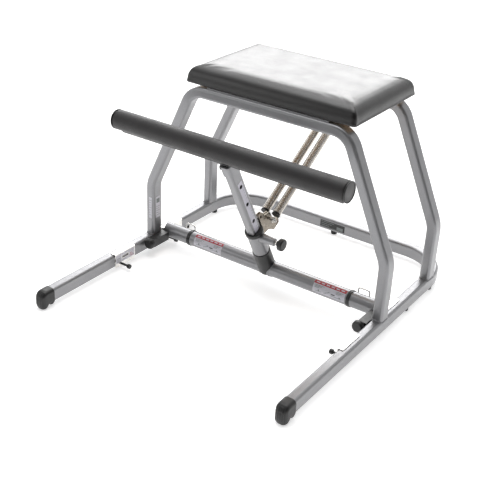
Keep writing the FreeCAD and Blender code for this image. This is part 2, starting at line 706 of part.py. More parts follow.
# Outline of the rack beside the sleeve: distance behind the arm's line, height along it, radius.
RACK_OUTLINE = [
    ("21", "126"), ("48", "119", "6"), ("68", "95", "5"), ("96", "97", "7"), ("98", "116", "6"),
    ("78", "124", "5"), ("76", "152", "6"), ("73", "168", "8"), ("52", "176", "6"),
    ("46", "196", "6"), ("29", "200", "4"), ("29", "157"), ("21", "157"),
]
SPARE_NOTCHES = [("36", "187"), ("87", "106")]


def make_rack_plate(side):
    """Notched plate behind the sleeve that takes the spring pin in one of three places."""
    body = new_body("rack_plate")
    outline = sketch_on(body, "YZ_Plane")
    chain(outline, RACK_OUTLINE)
    pad(body, outline, "dims.rack_plate")
    holes = sketch_on(body, "YZ_Plane")
    circle(holes, "dims.rack_pin + dims.journal_gap", "dims.rack_n", "dims.rack_s")
    for behind, height in SPARE_NOTCHES:
        circle(holes, "dims.notch_radius", behind, height)
    pocket(body, holes, "4 * dims.rack_plate")
    around = cylinder("dims.sleeve_radius", "dims.sleeve_top", "0", "0", "0")
    bind(body, Placement__Base__x=low_end(side, "dims.rack_side", "dims.rack_plate"))
    plate = cut(body, around)
    on_arm(plate)
    keep(plate, "rack_plate_" + side_name(side))


def make_rack_pin():
    """Cross pin in the rack that both springs hook on."""
    pin = cylinder("dims.rack_pin", "2 * dims.rack_pin_half", "0", "0", "0", "X")
    bind(pin, Placement__Base__x="-dims.rack_pin_half", Placement__Base__y=RACK_Y,
         Placement__Base__z=RACK_LEVEL)
    keep(pin, "rack_pin")


# ---- springs ----

def make_spring(side):
    """Closed-coil spring as a sleeve with a neck and a loop of wire at each end."""
    coil = cut(cylinder("dims.coil_radius", "dims.spring_span - 2 * dims.coil_inset", "0", "0",
                        "dims.coil_inset"),
               cylinder("dims.coil_radius - dims.coil_wire", "dims.spring_span - 2 * dims.coil_inset - 6",
                        "0", "0", "dims.coil_inset + 3"),
               cylinder("dims.plug_stem + dims.plug_gap", "dims.spring_span", "0", "0", "0"))
    pieces = [coil]
    reach = "dims.coil_inset + dims.hook_depth"
    far_hook = "dims.spring_span - (%s)" % reach
    for level, neck_low, hook_level in (("0", "dims.loop_radius", reach),
                                        ("dims.spring_span", far_hook, far_hook)):
        loop = doc.addObject("Part::Torus", "loop")
        loop.Placement = FreeCAD.Placement(Vector(0, 0, 0), FreeCAD.Rotation(Vector(0, 1, 0), 90))
        bind(loop, Radius1="dims.loop_radius", Radius2="dims.loop_wire", Placement__Base__z=level)
        neck = cylinder("dims.loop_wire", reach + " - dims.loop_radius", "0", "0", neck_low)
        hook = cylinder("dims.loop_wire", "dims.coil_radius - dims.coil_wire / 2",
                        "0", "0", hook_level, "X")
        pieces += [loop, neck, hook]
    spring = fuse(*pieces)
    on_spring(spring, "%d * dims.spring_x" % side)
    keep(spring, "spring_" + side_name(side))


def make_plugs(label, low, inward):
    """Black end plugs that centre the hooks in the coils, one for each spring."""
    plugs = []
    for side in (-1, 1):
        flange_low = "%s - dims.plug_flange" % low if inward > 0 else low
        stem_low = low if inward > 0 else "%s - dims.plug_long" % low
        flange = cylinder("dims.coil_radius", "dims.plug_flange", "0", "0", flange_low)
        stem = cylinder("dims.plug_stem", "dims.plug_long", "0", "0", stem_low)
        way = cylinder("dims.plug_hole", "4 * dims.coil_inset", "0", "0", "%s - 2 * dims.coil_inset" % low)
        plug = cut(fuse(flange, stem), way)
        on_spring(plug, "%d * dims.spring_x" % side)
        plugs.append(plug)
    keep(group(*plugs), label)


def make_hanger_plate(side):
    """Hanger plate that drops from the rear arch to the upper spring pin."""
    body = new_body("hanger_plate")
    outline = sketch_on(body, "YZ_Plane")
    weld = "dims.arch_level - dims.tube_wide / 2"
    head = "dims.hanger_head"
    chain(outline, [("dims.rear_arch_y - 12", weld),
                    ("(%s) - %s" % (HANGER_Y, head), "(%s) - 10" % HANGER_LEVEL, "8"),
                    ("(%s) + 2" % HANGER_Y, "(%s) - 13" % HANGER_LEVEL, "8"),
                    ("(%s) + %s" % (HANGER_Y, head), "(%s) + 2" % HANGER_LEVEL, "8"),
                    ("dims.rear_arch_y + 12", weld)])
    pad(body, outline, "dims.rack_plate")
    hole = sketch_on(body, "YZ_Plane")
    circle(hole, "dims.rack_pin + dims.journal_gap", HANGER_Y, HANGER_LEVEL)
    pocket(body, hole, "4 * dims.rack_plate")
    bind(body, Placement__Base__x=low_end(side, "dims.rack_side", "dims.rack_plate"))
    keep(body, "hanger_plate_" + side_name(side))


def make_hanger_pin():
    """Cross pin that holds the upper loops of both springs."""
    pin = cylinder("dims.rack_pin", "2 * dims.rack_pin_half", "0", "0", "0", "X")
    bind(pin, Placement__Base__x="-dims.rack_pin_half", Placement__Base__y=HANGER_Y,
         Placement__Base__z=HANGER_LEVEL)
    keep(pin, "hanger_pin")


# ---- press bar ----

def make_arm_tube():
    """Inner arm tube with its row of index holes on the right-hand side."""
    body = new_body("arm_tube")
    section = sketch_on(body, "XY_Plane", "dims.arm_low")
    tube_section(section, "dims.arm_wide", "dims.arm_deep", "dims.arm_round")
    pad(body, section, "dims.arm_top - dims.arm_low")
    holes = sketch_on(body, "YZ_Plane")
    for index in range(4):
        circle(holes, "dims.pin_hole", "0", "dims.pin_level + %d * dims.pin_pitch" % index)
    pocket(body, holes, "dims.arm_wide", reverse=True)
    on_arm(body)
    keep(body, "arm_tube")


def make_saddle():
    """Steel saddle: a short sleeve round the arm's head and a flat seat for the bar's plate."""
    body = new_body("bar_saddle")
    sleeve = sketch_on(body, "XY_Plane", "dims.head_low")
    rounded_box(sleeve, "dims.arm_wide + 2 * dims.saddle_thick", "dims.arm_deep + 2 * dims.saddle_thick",
                "dims.arm_round + dims.saddle_thick")
    pad(body, sleeve, "dims.arm_top - dims.head_low")
    seat = sketch_on(body, "XY_Plane", "dims.arm_top")
    rounded_box(seat, "2 * dims.saddle_half", "dims.bar_plate_wide", "5")
    pad(body, seat, "dims.saddle_thick")
    arm = sketch_on(body, "XY_Plane", "dims.head_low")
    rounded_box(arm, "dims.arm_wide", "dims.arm_deep", "dims.arm_round")
    pocket(body, arm, "dims.arm_top - dims.head_low", reverse=True)
    holes = sketch_on(body, "XY_Plane", "dims.arm_top")
    for side in (-1, 1):
        circle(holes, "dims.bar_bolt", "%d * dims.bar_bolt_x" % side)
    pocket(body, holes, "dims.saddle_thick", reverse=True)
    on_arm(body)
    keep(body, "bar_saddle")


def bar_plate_box():
    """Return the bar's plate, which lies on the saddle."""
    return box("2 * dims.bar_plate_half", "dims.bar_plate_wide", "dims.bar_plate_thick",
               "-dims.bar_plate_half", "-dims.bar_plate_wide / 2", PLATE_LOW)


def bar_bolt(side):
    """Return the shank of one bar bolt, from the saddle into the core."""
    return cylinder("dims.bar_bolt", "dims.bar_s - dims.core_radius - dims.arm_top + 1.5",
                    "%d * dims.bar_bolt_x" % side, "0", "dims.arm_top")


def make_bar_plate():
    """Flat bar along the underside of the padding, which it holds on the saddle."""
    plate = cut(bar_plate_box(), bar_bolt(-1), bar_bolt(1))
    on_arm(plate)
    keep(plate, "bar_plate")


def make_bar_bolts():
    """Two bolts up through the saddle and the plate into the core."""
    bolts = []
    for side in (-1, 1):
        head = cylinder("dims.bar_bolt + dims.bolt_head", "dims.bolt_head_tall",
                        "%d * dims.bar_bolt_x" % side, "0", "dims.arm_top - dims.bolt_head_tall")
        bolt = fuse(head, bar_bolt(side))
        on_arm(bolt)
        bolts.append(bolt)
    keep(group(*bolts), "bar_bolts")


def make_bar_core():
    """Steel tube inside the press bar."""
    core = cut(cylinder("dims.core_radius", "2 * (dims.bar_half - dims.end_cap)",
                        "-dims.bar_half + dims.end_cap", "0", "dims.bar_s", "X"),
               cylinder("dims.core_radius - dims.tube_wall", "2 * dims.bar_half",
                        "-dims.bar_half", "0", "dims.bar_s", "X"),
               bar_bolt(-1), bar_bolt(1))
    on_arm(core)
    keep(core, "bar_core")


def make_bar_pad():
    """Foam padding round the core, flat below where it rests on the plate."""
    outer = cylinder("dims.pad_radius", "2 * (dims.bar_half - dims.end_cap)",
                     "-dims.bar_half + dims.end_cap", "0", "dims.bar_s", "X")
    bore = cylinder("dims.core_radius", "2 * dims.bar_half", "-dims.bar_half", "0", "dims.bar_s", "X")
    padding = cut(outer, bore, bar_plate_box(), bar_bolt(-1), bar_bolt(1))
    on_arm(padding)
    keep(padding, "bar_pad")


def make_bar_cap(side):
    """End disc of the press bar with a raised rim."""
    end = "dims.bar_half"
    body = turned("bar_cap", [("0", "dims.bar_half - dims.end_cap"),
                              ("dims.pad_radius - 1", "dims.bar_half - dims.end_cap"),
                              ("dims.pad_radius - 1", end, "1.5"), ("dims.pad_radius - 5", end),
                              ("dims.pad_radius - 6", "dims.bar_half - 1.5"),
                              ("0", "dims.bar_half - 1.5")])
    lay_along_x(body, side, "dims.axle_y - dims.bar_s * sin(dims.arm_lean)",
                "dims.axle_level + dims.bar_s * cos(dims.arm_lean)")
    keep(body, "bar_cap_" + side_name(side))


def make_clamp_knob():
    """Small knob on the left of the arm's head that clamps the bar."""
    face = "dims.arm_wide / 2 + dims.saddle_thick"
    start = face + " + dims.touch_gap"
    neck = face + " + dims.clamp_neck"
    end = face + " + dims.clamp_long"
    body = turned("clamp_knob", [("0", start), ("dims.clamp_stem", start), ("dims.clamp_stem", neck),
                                 ("dims.clamp_radius", neck, "1.5"),
                                 ("dims.clamp_radius", end, "3"), ("0", end)])
    lay_along_x(body, -1, "dims.axle_y - dims.clamp_s * sin(dims.arm_lean)",
                "dims.axle_level + dims.clamp_s * cos(dims.arm_lean)")
    keep(body, "clamp_knob")


make_base_frame()
make_floor_feet()
make_arch("front_arch", "dims.front_arch_y")
make_arch("rear_arch", "dims.rear_arch_y")
make_seat_strip("front_seat_strip", "dims.front_arch_y")
make_seat_strip("rear_seat_strip", "dims.rear_arch_y")
make_seat_board()
make_seat_pad()
make_seat_screws()
for side in (-1, 1):
    make_end_cap(side)
    make_stub(side)
    make_bush(side)
    make_bracket("front_bracket_", side, "dims.bracket_front_y", "dims.bolt_front_y")
    make_bracket("rear_bracket_", side, "dims.bracket_rear_y", "dims.bolt_rear_y")
    make_bracket_bolt("front_bolt_", side, "dims.bolt_front_y")
    make_bracket_bolt("rear_bolt_", side, "dims.bolt_rear_y")
    make_lock_block(side)
    make_lock_knob(side)
    make_wire_clip(side)
    make_axle_tube(side)
    make_journal(side)
    make_rack_plate(side)
    make_spring(side)
    make_hanger_plate(side)
    make_bar_cap(side)
make_sleeve()
make_boot()
make_collar()
make_pin_housing()
make_index_pin()
make_index_spring()
make_index_knob()
make_rack_pin()
make_plugs("spring_plugs_lower", "dims.coil_inset", 1)
make_plugs("spring_plugs_upper", "dims.spring_span - dims.coil_inset + 0.3", -1)
make_hanger_pin()
make_arm_tube()
make_saddle()
make_bar_plate()
make_bar_bolts()
make_bar_core()
make_bar_pad()
make_clamp_knob()

doc.recompute()
faults = [item.Name for item in doc.Objects if "Invalid" in item.State or "Error" in item.State]
if faults:
    raise ValueError("objects that failed: " + ", ".join(faults))
for item in sub_parts:
    if item.Shape.isNull() or not item.Shape.isValid():
        raise ValueError("no valid shape in " + item.Label)
os.makedirs("parts", exist_ok=True)
for item in sub_parts:
    item.Shape.exportStep("parts/%s.step" % item.Label)
print("sub-parts written:", len(sub_parts))
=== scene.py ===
"""Looks of the pedal chair: finishes, soft parts, wound springs and small fittings on its fixed frame.

Lengths are metres in the frame of the model: +Z up, +X to the right, the press bar towards -Y.
"""

import json
import logging
import math
from collections.abc import Callable, Iterable, Sequence
from dataclasses import dataclass, field
from enum import Enum

import bmesh
import bpy
from mathutils import Euler, Matrix, Vector
from mathutils.bvhtree import BVHTree

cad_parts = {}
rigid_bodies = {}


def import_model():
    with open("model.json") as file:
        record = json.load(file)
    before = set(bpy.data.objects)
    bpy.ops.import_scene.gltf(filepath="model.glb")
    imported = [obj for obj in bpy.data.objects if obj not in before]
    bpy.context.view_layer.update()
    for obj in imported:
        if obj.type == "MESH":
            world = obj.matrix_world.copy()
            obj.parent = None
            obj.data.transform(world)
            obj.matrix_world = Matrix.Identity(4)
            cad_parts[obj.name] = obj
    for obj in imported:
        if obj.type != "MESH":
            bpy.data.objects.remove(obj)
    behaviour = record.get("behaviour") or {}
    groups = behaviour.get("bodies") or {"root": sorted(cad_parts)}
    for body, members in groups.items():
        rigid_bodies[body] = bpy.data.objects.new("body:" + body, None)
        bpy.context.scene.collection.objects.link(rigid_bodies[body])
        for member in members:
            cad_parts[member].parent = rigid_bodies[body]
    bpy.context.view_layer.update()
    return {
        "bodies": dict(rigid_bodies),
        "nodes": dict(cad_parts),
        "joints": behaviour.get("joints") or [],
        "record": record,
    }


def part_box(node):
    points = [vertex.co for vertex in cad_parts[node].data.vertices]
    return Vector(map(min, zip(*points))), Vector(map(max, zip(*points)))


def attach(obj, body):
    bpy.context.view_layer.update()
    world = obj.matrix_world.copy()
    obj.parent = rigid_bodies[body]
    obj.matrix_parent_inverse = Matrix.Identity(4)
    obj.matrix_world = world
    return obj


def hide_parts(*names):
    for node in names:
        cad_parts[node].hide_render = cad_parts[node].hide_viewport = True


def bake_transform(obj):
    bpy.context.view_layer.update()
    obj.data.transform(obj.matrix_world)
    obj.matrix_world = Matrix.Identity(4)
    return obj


LOG = logging.getLogger("pedal_chair")
MM = 0.001
SIDES = {"left": -1, "right": 1}
FILM_ROOT = 0.02 * MM
PRINT_STEP = 0.05 * MM


# ---------------------------------------------------------------- finishes


class Bench:
    """A node tree of one material under construction, with short calls for the nodes it needs."""

    def __init__(self, name: str) -> None:
        """Start a material.

        Args:
            name: The material's name.
        """
        self.material = bpy.data.materials.new(name)
        self.material.use_nodes = True
        self.tree = self.material.node_tree
        self.shader = self.tree.nodes["Principled BSDF"]
        self.place = self.tree.nodes.new("ShaderNodeTexCoord").outputs["Object"]

    def node(self, kind: str, **inputs: object) -> bpy.types.Node:
        """Add a node and fill its inputs.

        Args:
            kind: The node's type.
            **inputs: Values or output sockets by input name, with _ for a space.

        Returns:
            The new node.
        """
        item = self.tree.nodes.new(kind)
        for key, value in inputs.items():
            self.feed(item.inputs[key.replace("_", " ")], value)
        return item

    def feed(self, socket: bpy.types.NodeSocket, value: object) -> None:
        """Link an output to a socket, or set the socket's value.

        Args:
            socket: The input socket.
            value: An output socket, a number or a colour.
        """
        if isinstance(value, bpy.types.NodeSocket):
            self.tree.links.new(value, socket)
        else:
            socket.default_value = value

    def stretched(self, scale: Sequence[float]) -> bpy.types.NodeSocket:
        """Return the place of a point, scaled along each axis.

        Args:
            scale: Scale along X, Y and Z.
        """
        item = self.node("ShaderNodeMapping", Vector=self.place)
        item.inputs["Scale"].default_value = scale
        return item.outputs["Vector"]

    def noise(self, scale: float, detail: float = 2.0, place: bpy.types.NodeSocket | None = None,
              rough: float = 0.5) -> bpy.types.NodeSocket:
        """Return a cloudy value from 0 to 1.

        Args:
            scale: Clouds per metre.
            detail: Number of finer layers.
            place: Where it is read, the point itself unless given.
            rough: Strength of the finer layers.
        """
        item = self.node("ShaderNodeTexNoise", Vector=place or self.place, Scale=scale,
                         Detail=detail, Roughness=rough)
        return item.outputs[0]

    def cells(self, scale: float, place: bpy.types.NodeSocket | None = None) -> bpy.types.NodeSocket:
        """Return the distance to the nearest cell edge of a cell pattern.

        Args:
            scale: Cells per metre.
            place: Where it is read, the point itself unless given.
        """
        item = self.tree.nodes.new("ShaderNodeTexVoronoi")
        item.feature = "DISTANCE_TO_EDGE"
        self.feed(item.inputs["Vector"], place or self.place)
        item.inputs["Scale"].default_value = scale
        return item.outputs["Distance"]

    def spread(self, value: bpy.types.NodeSocket, low: float, high: float,
               source: tuple[float, float] = (0.3, 0.7)) -> bpy.types.NodeSocket:
        """Return a value moved from one range to another.

        Args:
            value: The value.
            low: What the source's low end becomes.
            high: What the source's high end becomes.
            source: The range it comes in.
        """
        item = self.node("ShaderNodeMapRange", Value=value)
        item.inputs["From Min"].default_value = source[0]
        item.inputs["From Max"].default_value = source[1]
        item.inputs["To Min"].default_value = low
        item.inputs["To Max"].default_value = high
        return item.outputs[0]

    def blend(self, factor: bpy.types.NodeSocket, first: Sequence[float],
              second: Sequence[float] | bpy.types.NodeSocket) -> bpy.types.NodeSocket:
        """Return a colour between two colours.

        Args:
            factor: 0 for the first, 1 for the second.
            first: The first colour.
            second: The second colour.
        """
        item = self.tree.nodes.new("ShaderNodeMix")
        item.data_type = "RGBA"
        self.feed(item.inputs["Factor"], factor)
        self.feed(item.inputs[6], (*first, 1.0) if not isinstance(first, bpy.types.NodeSocket) else first)
        self.feed(item.inputs[7], (*second, 1.0) if not isinstance(second, bpy.types.NodeSocket) else second)
        return item.outputs[2]

    def emboss(self, height: bpy.types.NodeSocket, depth: float, strength: float,
               under: bpy.types.NodeSocket | None = None) -> bpy.types.NodeSocket:
        """Return a surface direction shaped by a height.

        Args:
            height: The height, from 0 to 1.
            depth: How deep 1 is, in metres.
            strength: How much of it is used.
            under: A direction that is already shaped.
        """
        item = self.node("ShaderNodeBump", Height=height, Strength=strength, Distance=depth)
        if under is not None:
            self.feed(item.inputs["Normal"], under)
        return item.outputs["Normal"]

    def finish(self, **inputs: object) -> bpy.types.Material:
        """Fill the shader's inputs and return the material.

        Args:
            **inputs: Values or output sockets by input name, with _ for a space.

        Returns:
            The finished material.
        """
        for key, value in inputs.items():
            self.feed(self.shader.inputs[key.replace("_", " ")], value)
        return self.material


def darker(colour: Sequence[float], share: float) -> tuple[float, float, float]:
    """Return a colour times a share, which may be above one."""
    return tuple(min(1.0, part * share) for part in colour)


@dataclass(frozen=True)
class PowderCoat:
    """Silver-grey powder coat on steel tube, with metal flake and orange peel."""

    name: str = "silver powder coat"
    colour: tuple[float, float, float] = (0.27, 0.27, 0.28)
    metallic: float = 0.55
    roughness: tuple[float, float] = (0.30, 0.38)
    flake_scale: float = 2600.0
    peel_scale: float = 420.0
    peel_depth: float = 0.00018

    def build(self) -> bpy.types.Material:
        """Return the material."""
        bench = Bench(self.name)
        flake = bench.spread(bench.noise(self.flake_scale, 1.0), 0.0, 1.0)
        cloud = bench.spread(bench.noise(5.0, 3.0), 0.0, 1.0)
        body = bench.blend(flake, darker(self.colour, 0.88), darker(self.colour, 1.14))
        tinted = bench.blend(bench.spread(cloud, 0.0, 0.22, (0.0, 1.0)), body, darker(self.colour, 0.8))
        peel = bench.emboss(bench.noise(self.peel_scale, 2.0), self.peel_depth, 0.35)
        rough = bench.spread(bench.noise(60.0, 3.0), *self.roughness)
        return bench.finish(Base_Color=tinted, Metallic=self.metallic, Roughness=rough, Normal=peel,
                            Coat_Weight=0.18, Coat_Roughness=0.22)


@dataclass(frozen=True)
class PlatedSteel:
    """Plated steel with faint drawing lines, finger-dulled patches and a little stain."""

    name: str
    colour: tuple[float, float, float]
    stain: tuple[float, float, float]
    roughness: tuple[float, float] = (0.14, 0.30)
    line_scale: tuple[float, float, float] = (60.0, 900.0, 900.0)
    stain_share: float = 0.4

    def build(self) -> bpy.types.Material:
        """Return the material."""
        bench = Bench(self.name)
        drawn = bench.noise(1.0, 2.0, bench.stretched(self.line_scale))
        patch = bench.spread(bench.noise(38.0, 4.0, rough=0.6), 0.0, self.stain_share, (0.42, 0.68))
        tone = bench.blend(patch, self.colour, self.stain)
        rough = bench.spread(bench.noise(85.0, 3.0), *self.roughness)
        return bench.finish(Base_Color=tone, Metallic=1.0, Roughness=rough,
                            Normal=bench.emboss(drawn, 0.00005, 0.25))


@dataclass(frozen=True)
class MouldedPlastic:
    """Moulded plastic or rubber with a spark-eroded grain."""

    name: str
    colour: tuple[float, float, float]
    roughness: tuple[float, float] = (0.34, 0.48)
    grain_scale: float = 1500.0
    grain_depth: float = 0.00012

    def build(self) -> bpy.types.Material:
        """Return the material."""
        bench = Bench(self.name)
        wear = bench.spread(bench.noise(28.0, 4.0, rough=0.65), 0.0, 0.5)
        tone = bench.blend(wear, self.colour, darker(self.colour, 1.9))
        grain = bench.emboss(bench.noise(self.grain_scale, 2.0), self.grain_depth, 0.4)
        rough = bench.spread(bench.noise(40.0, 2.0), *self.roughness)
        return bench.finish(Base_Color=tone, Roughness=rough, Normal=grain)


@dataclass(frozen=True)
class Vinyl:
    """Black upholstery vinyl: pebbled grain, soft gloss, faint pull lines."""

    name: str = "seat vinyl"
    colour: tuple[float, float, float] = (0.008, 0.007, 0.007)
    roughness: tuple[float, float] = (0.30, 0.40)
    pebble_scale: float = 780.0
    pebble_depth: float = 0.00022
    pull_scale: tuple[float, float, float] = (9.0, 26.0, 26.0)

    def build(self) -> bpy.types.Material:
        """Return the material."""
        bench = Bench(self.name)
        pebble = bench.spread(bench.cells(self.pebble_scale), 0.0, 1.0, (0.0, 0.35))
        pulled = bench.noise(1.0, 3.0, bench.stretched(self.pull_scale))
        coarse = bench.emboss(pulled, 0.0016, 0.22)
        fine = bench.emboss(pebble, self.pebble_depth, 0.30, coarse)
        tone = bench.blend(bench.spread(bench.noise(14.0, 4.0), 0.0, 0.6), self.colour,
                           darker(self.colour, 1.8))
        # Painted shade: the colour is darker where the pebble cells meet, in the grain's valleys.
        valley_shaded_tone = bench.blend(bench.spread(pebble, 0.5, 0.0, (0.0, 1.0)), tone, darker(self.colour, 0.5))
        rough = bench.spread(bench.noise(22.0, 3.0), *self.roughness)
        return bench.finish(Base_Color=valley_shaded_tone, Roughness=rough, Normal=fine, Coat_Weight=0.35,
                            Coat_Roughness=0.24, Sheen_Weight=0.03)


@dataclass(frozen=True)
class FoamSkin:
    """Closed-cell foam grip with a smooth, slightly pored skin."""

    name: str = "bar foam skin"
    colour: tuple[float, float, float] = (0.010, 0.0085, 0.009)
    roughness: tuple[float, float] = (0.44, 0.56)
    pore_scale: float = 1150.0
    dent_scale: float = 34.0

    def build(self) -> bpy.types.Material:
        """Return the material."""
        bench = Bench(self.name)
        pores = bench.spread(bench.cells(self.pore_scale), 0.0, 1.0, (0.0, 0.2))
        dents = bench.emboss(bench.noise(self.dent_scale, 2.0), 0.0012, 0.25)
        skin = bench.emboss(pores, 0.00016, 0.35, dents)
        tone = bench.blend(bench.spread(bench.noise(11.0, 4.0), 0.0, 1.0), darker(self.colour, 0.8),
                           darker(self.colour, 1.3))
        rough = bench.spread(bench.noise(30.0, 3.0), *self.roughness)
        return bench.finish(Base_Color=tone, Roughness=rough, Normal=skin, Sheen_Weight=0.06)


@dataclass(frozen=True)
class Plywood:
    """Birch plywood with grain along X, pores and darker plies towards its edges."""

    name: str = "birch plywood"
    light: tuple[float, float, float] = (0.56, 0.39, 0.22)
    dark: tuple[float, float, float] = (0.36, 0.22, 0.11)
    ply_thickness: float = 0.002

    def build(self) -> bpy.types.Material:
        """Return the material."""
        bench = Bench(self.name)
        grain = bench.noise(1.0, 6.0, bench.stretched((14.0, 210.0, 30.0)), 0.62)
        plies = bench.tree.nodes.new("ShaderNodeTexWave")
        plies.bands_direction = "Z"
        bench.feed(plies.inputs["Vector"], bench.place)
        plies.inputs["Scale"].default_value = math.pi / (20 * self.ply_thickness) / 2
        wood = bench.blend(bench.spread(grain, 0.0, 1.0, (0.35, 0.65)), self.light, self.dark)
        tone = bench.blend(bench.spread(plies.outputs[1], 0.0, 0.35, (0.0, 1.0)), wood, self.dark)
        return bench.finish(Base_Color=tone, Roughness=0.62, Normal=bench.emboss(grain, 0.0002, 0.5))


@dataclass(frozen=True)
class PrintedFilm:
    """Printed label film, a little uneven in its ink."""

    name: str
    colour: tuple[float, float, float]
    roughness: float = 0.34

    def build(self) -> bpy.types.Material:
        """Return the material."""
        bench = Bench(self.name)
        ink = bench.spread(bench.noise(260.0, 3.0), 0.0, 1.0)
        tone = bench.blend(ink, darker(self.colour, 0.93), darker(self.colour, 1.03))
        return bench.finish(Base_Color=tone, Roughness=self.roughness,
                            Normal=bench.emboss(bench.noise(120.0, 2.0), 0.0001, 0.2))


class Finish(Enum):
    """Every finish on the chair."""

    PAINT = PowderCoat()
    ZINC = PlatedSteel("bright zinc", (0.80, 0.79, 0.77), (0.50, 0.47, 0.42))
    RACK = PlatedSteel("heat-browned zinc", (0.27, 0.24, 0.20), (0.13, 0.10, 0.08), (0.22, 0.40))
    NICKEL = PlatedSteel("nickel spring wire", (0.60, 0.57, 0.53), (0.36, 0.32, 0.27), (0.10, 0.20),
                         (500.0, 500.0, 500.0), 0.25)
    BLACK = MouldedPlastic("black moulded plastic", (0.012, 0.012, 0.012))
    DISC = MouldedPlastic("dark grey end disc", (0.050, 0.048, 0.049), (0.45, 0.6))
    RUBBER = MouldedPlastic("black rubber", (0.010, 0.010, 0.010), (0.66, 0.8), 700.0, 0.0002)
    BAR_STEEL = MouldedPlastic("black bar paint", (0.010, 0.010, 0.011), (0.24, 0.34), 500.0, 0.0001)
    VINYL = Vinyl()
    FOAM = FoamSkin()
    WOOD = Plywood()
    WHITE = PrintedFilm("white label", (0.58, 0.57, 0.62))
    SCALE = PrintedFilm("pale scale strip", (0.56, 0.55, 0.62))
    RED = PrintedFilm("red label band", (0.42, 0.035, 0.05))
    GREY = PrintedFilm("grey label print", (0.16, 0.18, 0.18))
    INK = PrintedFilm("black label ink", (0.018, 0.018, 0.018), 0.42)

    def material(self) -> bpy.types.Material:
        """Return the finish's material, built on its first use."""
        return bpy.data.materials.get(self.value.name) or self.value.build()


SLOT_FINISH = {
    "frame_paint": Finish.PAINT,
    "plated_steel": Finish.ZINC,
    "spring_steel": Finish.NICKEL,
    "black_plastic": Finish.BLACK,
    "black_rubber": Finish.RUBBER,
    "bar_steel": Finish.BAR_STEEL,
    "seat_vinyl": Finish.VINYL,
    "bar_foam": Finish.FOAM,
    "plywood": Finish.WOOD,
}
NODE_FINISH = {"rack_plate_left": Finish.RACK, "rack_plate_right": Finish.RACK}


# ---------------------------------------------------------------- shapes


@dataclass
class Shape:
    """Points and faces of a piece before it becomes an object."""

    points: list[Vector] = field(default_factory=list)
    faces: list[tuple[int, ...]] = field(default_factory=list)
    finish_of: list[int] = field(default_factory=list)

    def skin(self, rows: Sequence[Sequence[Vector]], round_rows: bool = True, loop: bool = False,
             ends: tuple[bool, bool] = (False, False), finish: int = 0) -> None:
        """Add faces between rows of points.

        Args:
            rows: Rows with the same number of points each.
            round_rows: Whether each row closes on itself.
            loop: Whether the last row joins the first.
            ends: Whether the first and the last row are closed with a face.
            finish: Index of the finish that these faces take.
        """
        start = len(self.points)
        wide = len(rows[0])
        for row in rows:
            self.points.extend(Vector(point) for point in row)
        row_steps = len(rows) if loop else len(rows) - 1
        for row in range(row_steps):
            upper = (row + 1) % len(rows)
            for column in range(wide if round_rows else wide - 1):
                beside = (column + 1) % wide
                self.face((start + row * wide + column, start + row * wide + beside,
                           start + upper * wide + beside, start + upper * wide + column), finish)
        if ends[0]:
            self.face(tuple(start + column for column in reversed(range(wide))), finish)
        if ends[1]:
            last = start + (len(rows) - 1) * wide
            self.face(tuple(last + column for column in range(wide)), finish)

    def face(self, corners: tuple[int, ...], finish: int = 0) -> None:
        """Add one face.

        Args:
            corners: Indices of its points.
            finish: Index of the finish it takes.
        """
        self.faces.append(corners)
        self.finish_of.append(finish)

    def build(self, name: str, finishes: Iterable[Finish], sharp: float = 38.0) -> bpy.types.Object:
        """Make the object.

        Args:
            name: The piece's name.
            finishes: Its finishes, in the order of their indices.
            sharp: Angle in degrees above which an edge stays sharp.

        Returns:
            The object, linked to the scene.
        """
        mesh = bpy.data.meshes.new(name)
        mesh.from_pydata(self.points, [], self.faces)
        for finish in finishes:
            mesh.materials.append(finish.material())
        mesh.polygons.foreach_set("material_index", self.finish_of)
        shaped = bmesh.new()
        shaped.from_mesh(mesh)
        bmesh.ops.remove_doubles(shaped, verts=shaped.verts, dist=1e-6)
        bmesh.ops.recalc_face_normals(shaped, faces=shaped.faces)
        shaped.to_mesh(mesh)
        shaped.free()
        smooth(mesh, sharp)
        item = bpy.data.objects.new(name, mesh)
        bpy.context.scene.collection.objects.link(item)
        return item


def smooth(mesh: bpy.types.Mesh, sharp: float) -> None:
    """Shade a mesh smoothly, except at edges sharper than an angle in degrees."""
    mesh.polygons.foreach_set("use_smooth", [True] * len(mesh.polygons))
    mesh.set_sharp_from_angle(angle=math.radians(sharp))


def rounded_outline(half_wide: float, half_tall: float, radius: float, steps: int,
                    runs: int = 1) -> list[tuple[float, float]]:
    """Return the points of a rounded rectangle about zero.

    Args:
        half_wide: Half of its width.
        half_tall: Half of its height.
        radius: Radius of its corners.
        steps: Points less one round each corner.
        runs: Parts that each straight side is divided in.

    Returns:
        The points, anticlockwise.
    """
    radius = max(1e-5, min(radius, half_wide * 0.98, half_tall * 0.98))
    corners = []
    for quarter, (across, up) in enumerate(((1, 1), (-1, 1), (-1, -1), (1, -1))):
        arc = []
        for step in range(steps + 1):
            angle = math.pi / 2 * (quarter + step / steps)
            arc.append((across * (half_wide - radius) + radius * math.cos(angle),
                        up * (half_tall - radius) + radius * math.sin(angle)))
        corners.append(arc)
    outline = []
    for index, arc in enumerate(corners):
        outline.extend(arc)
        after = corners[(index + 1) % 4][0]
        for part in range(1, runs):
            share = part / runs
            outline.append((arc[-1][0] + (after[0] - arc[-1][0]) * share,
                            arc[-1][1] + (after[1] - arc[-1][1]) * share))
    return outline


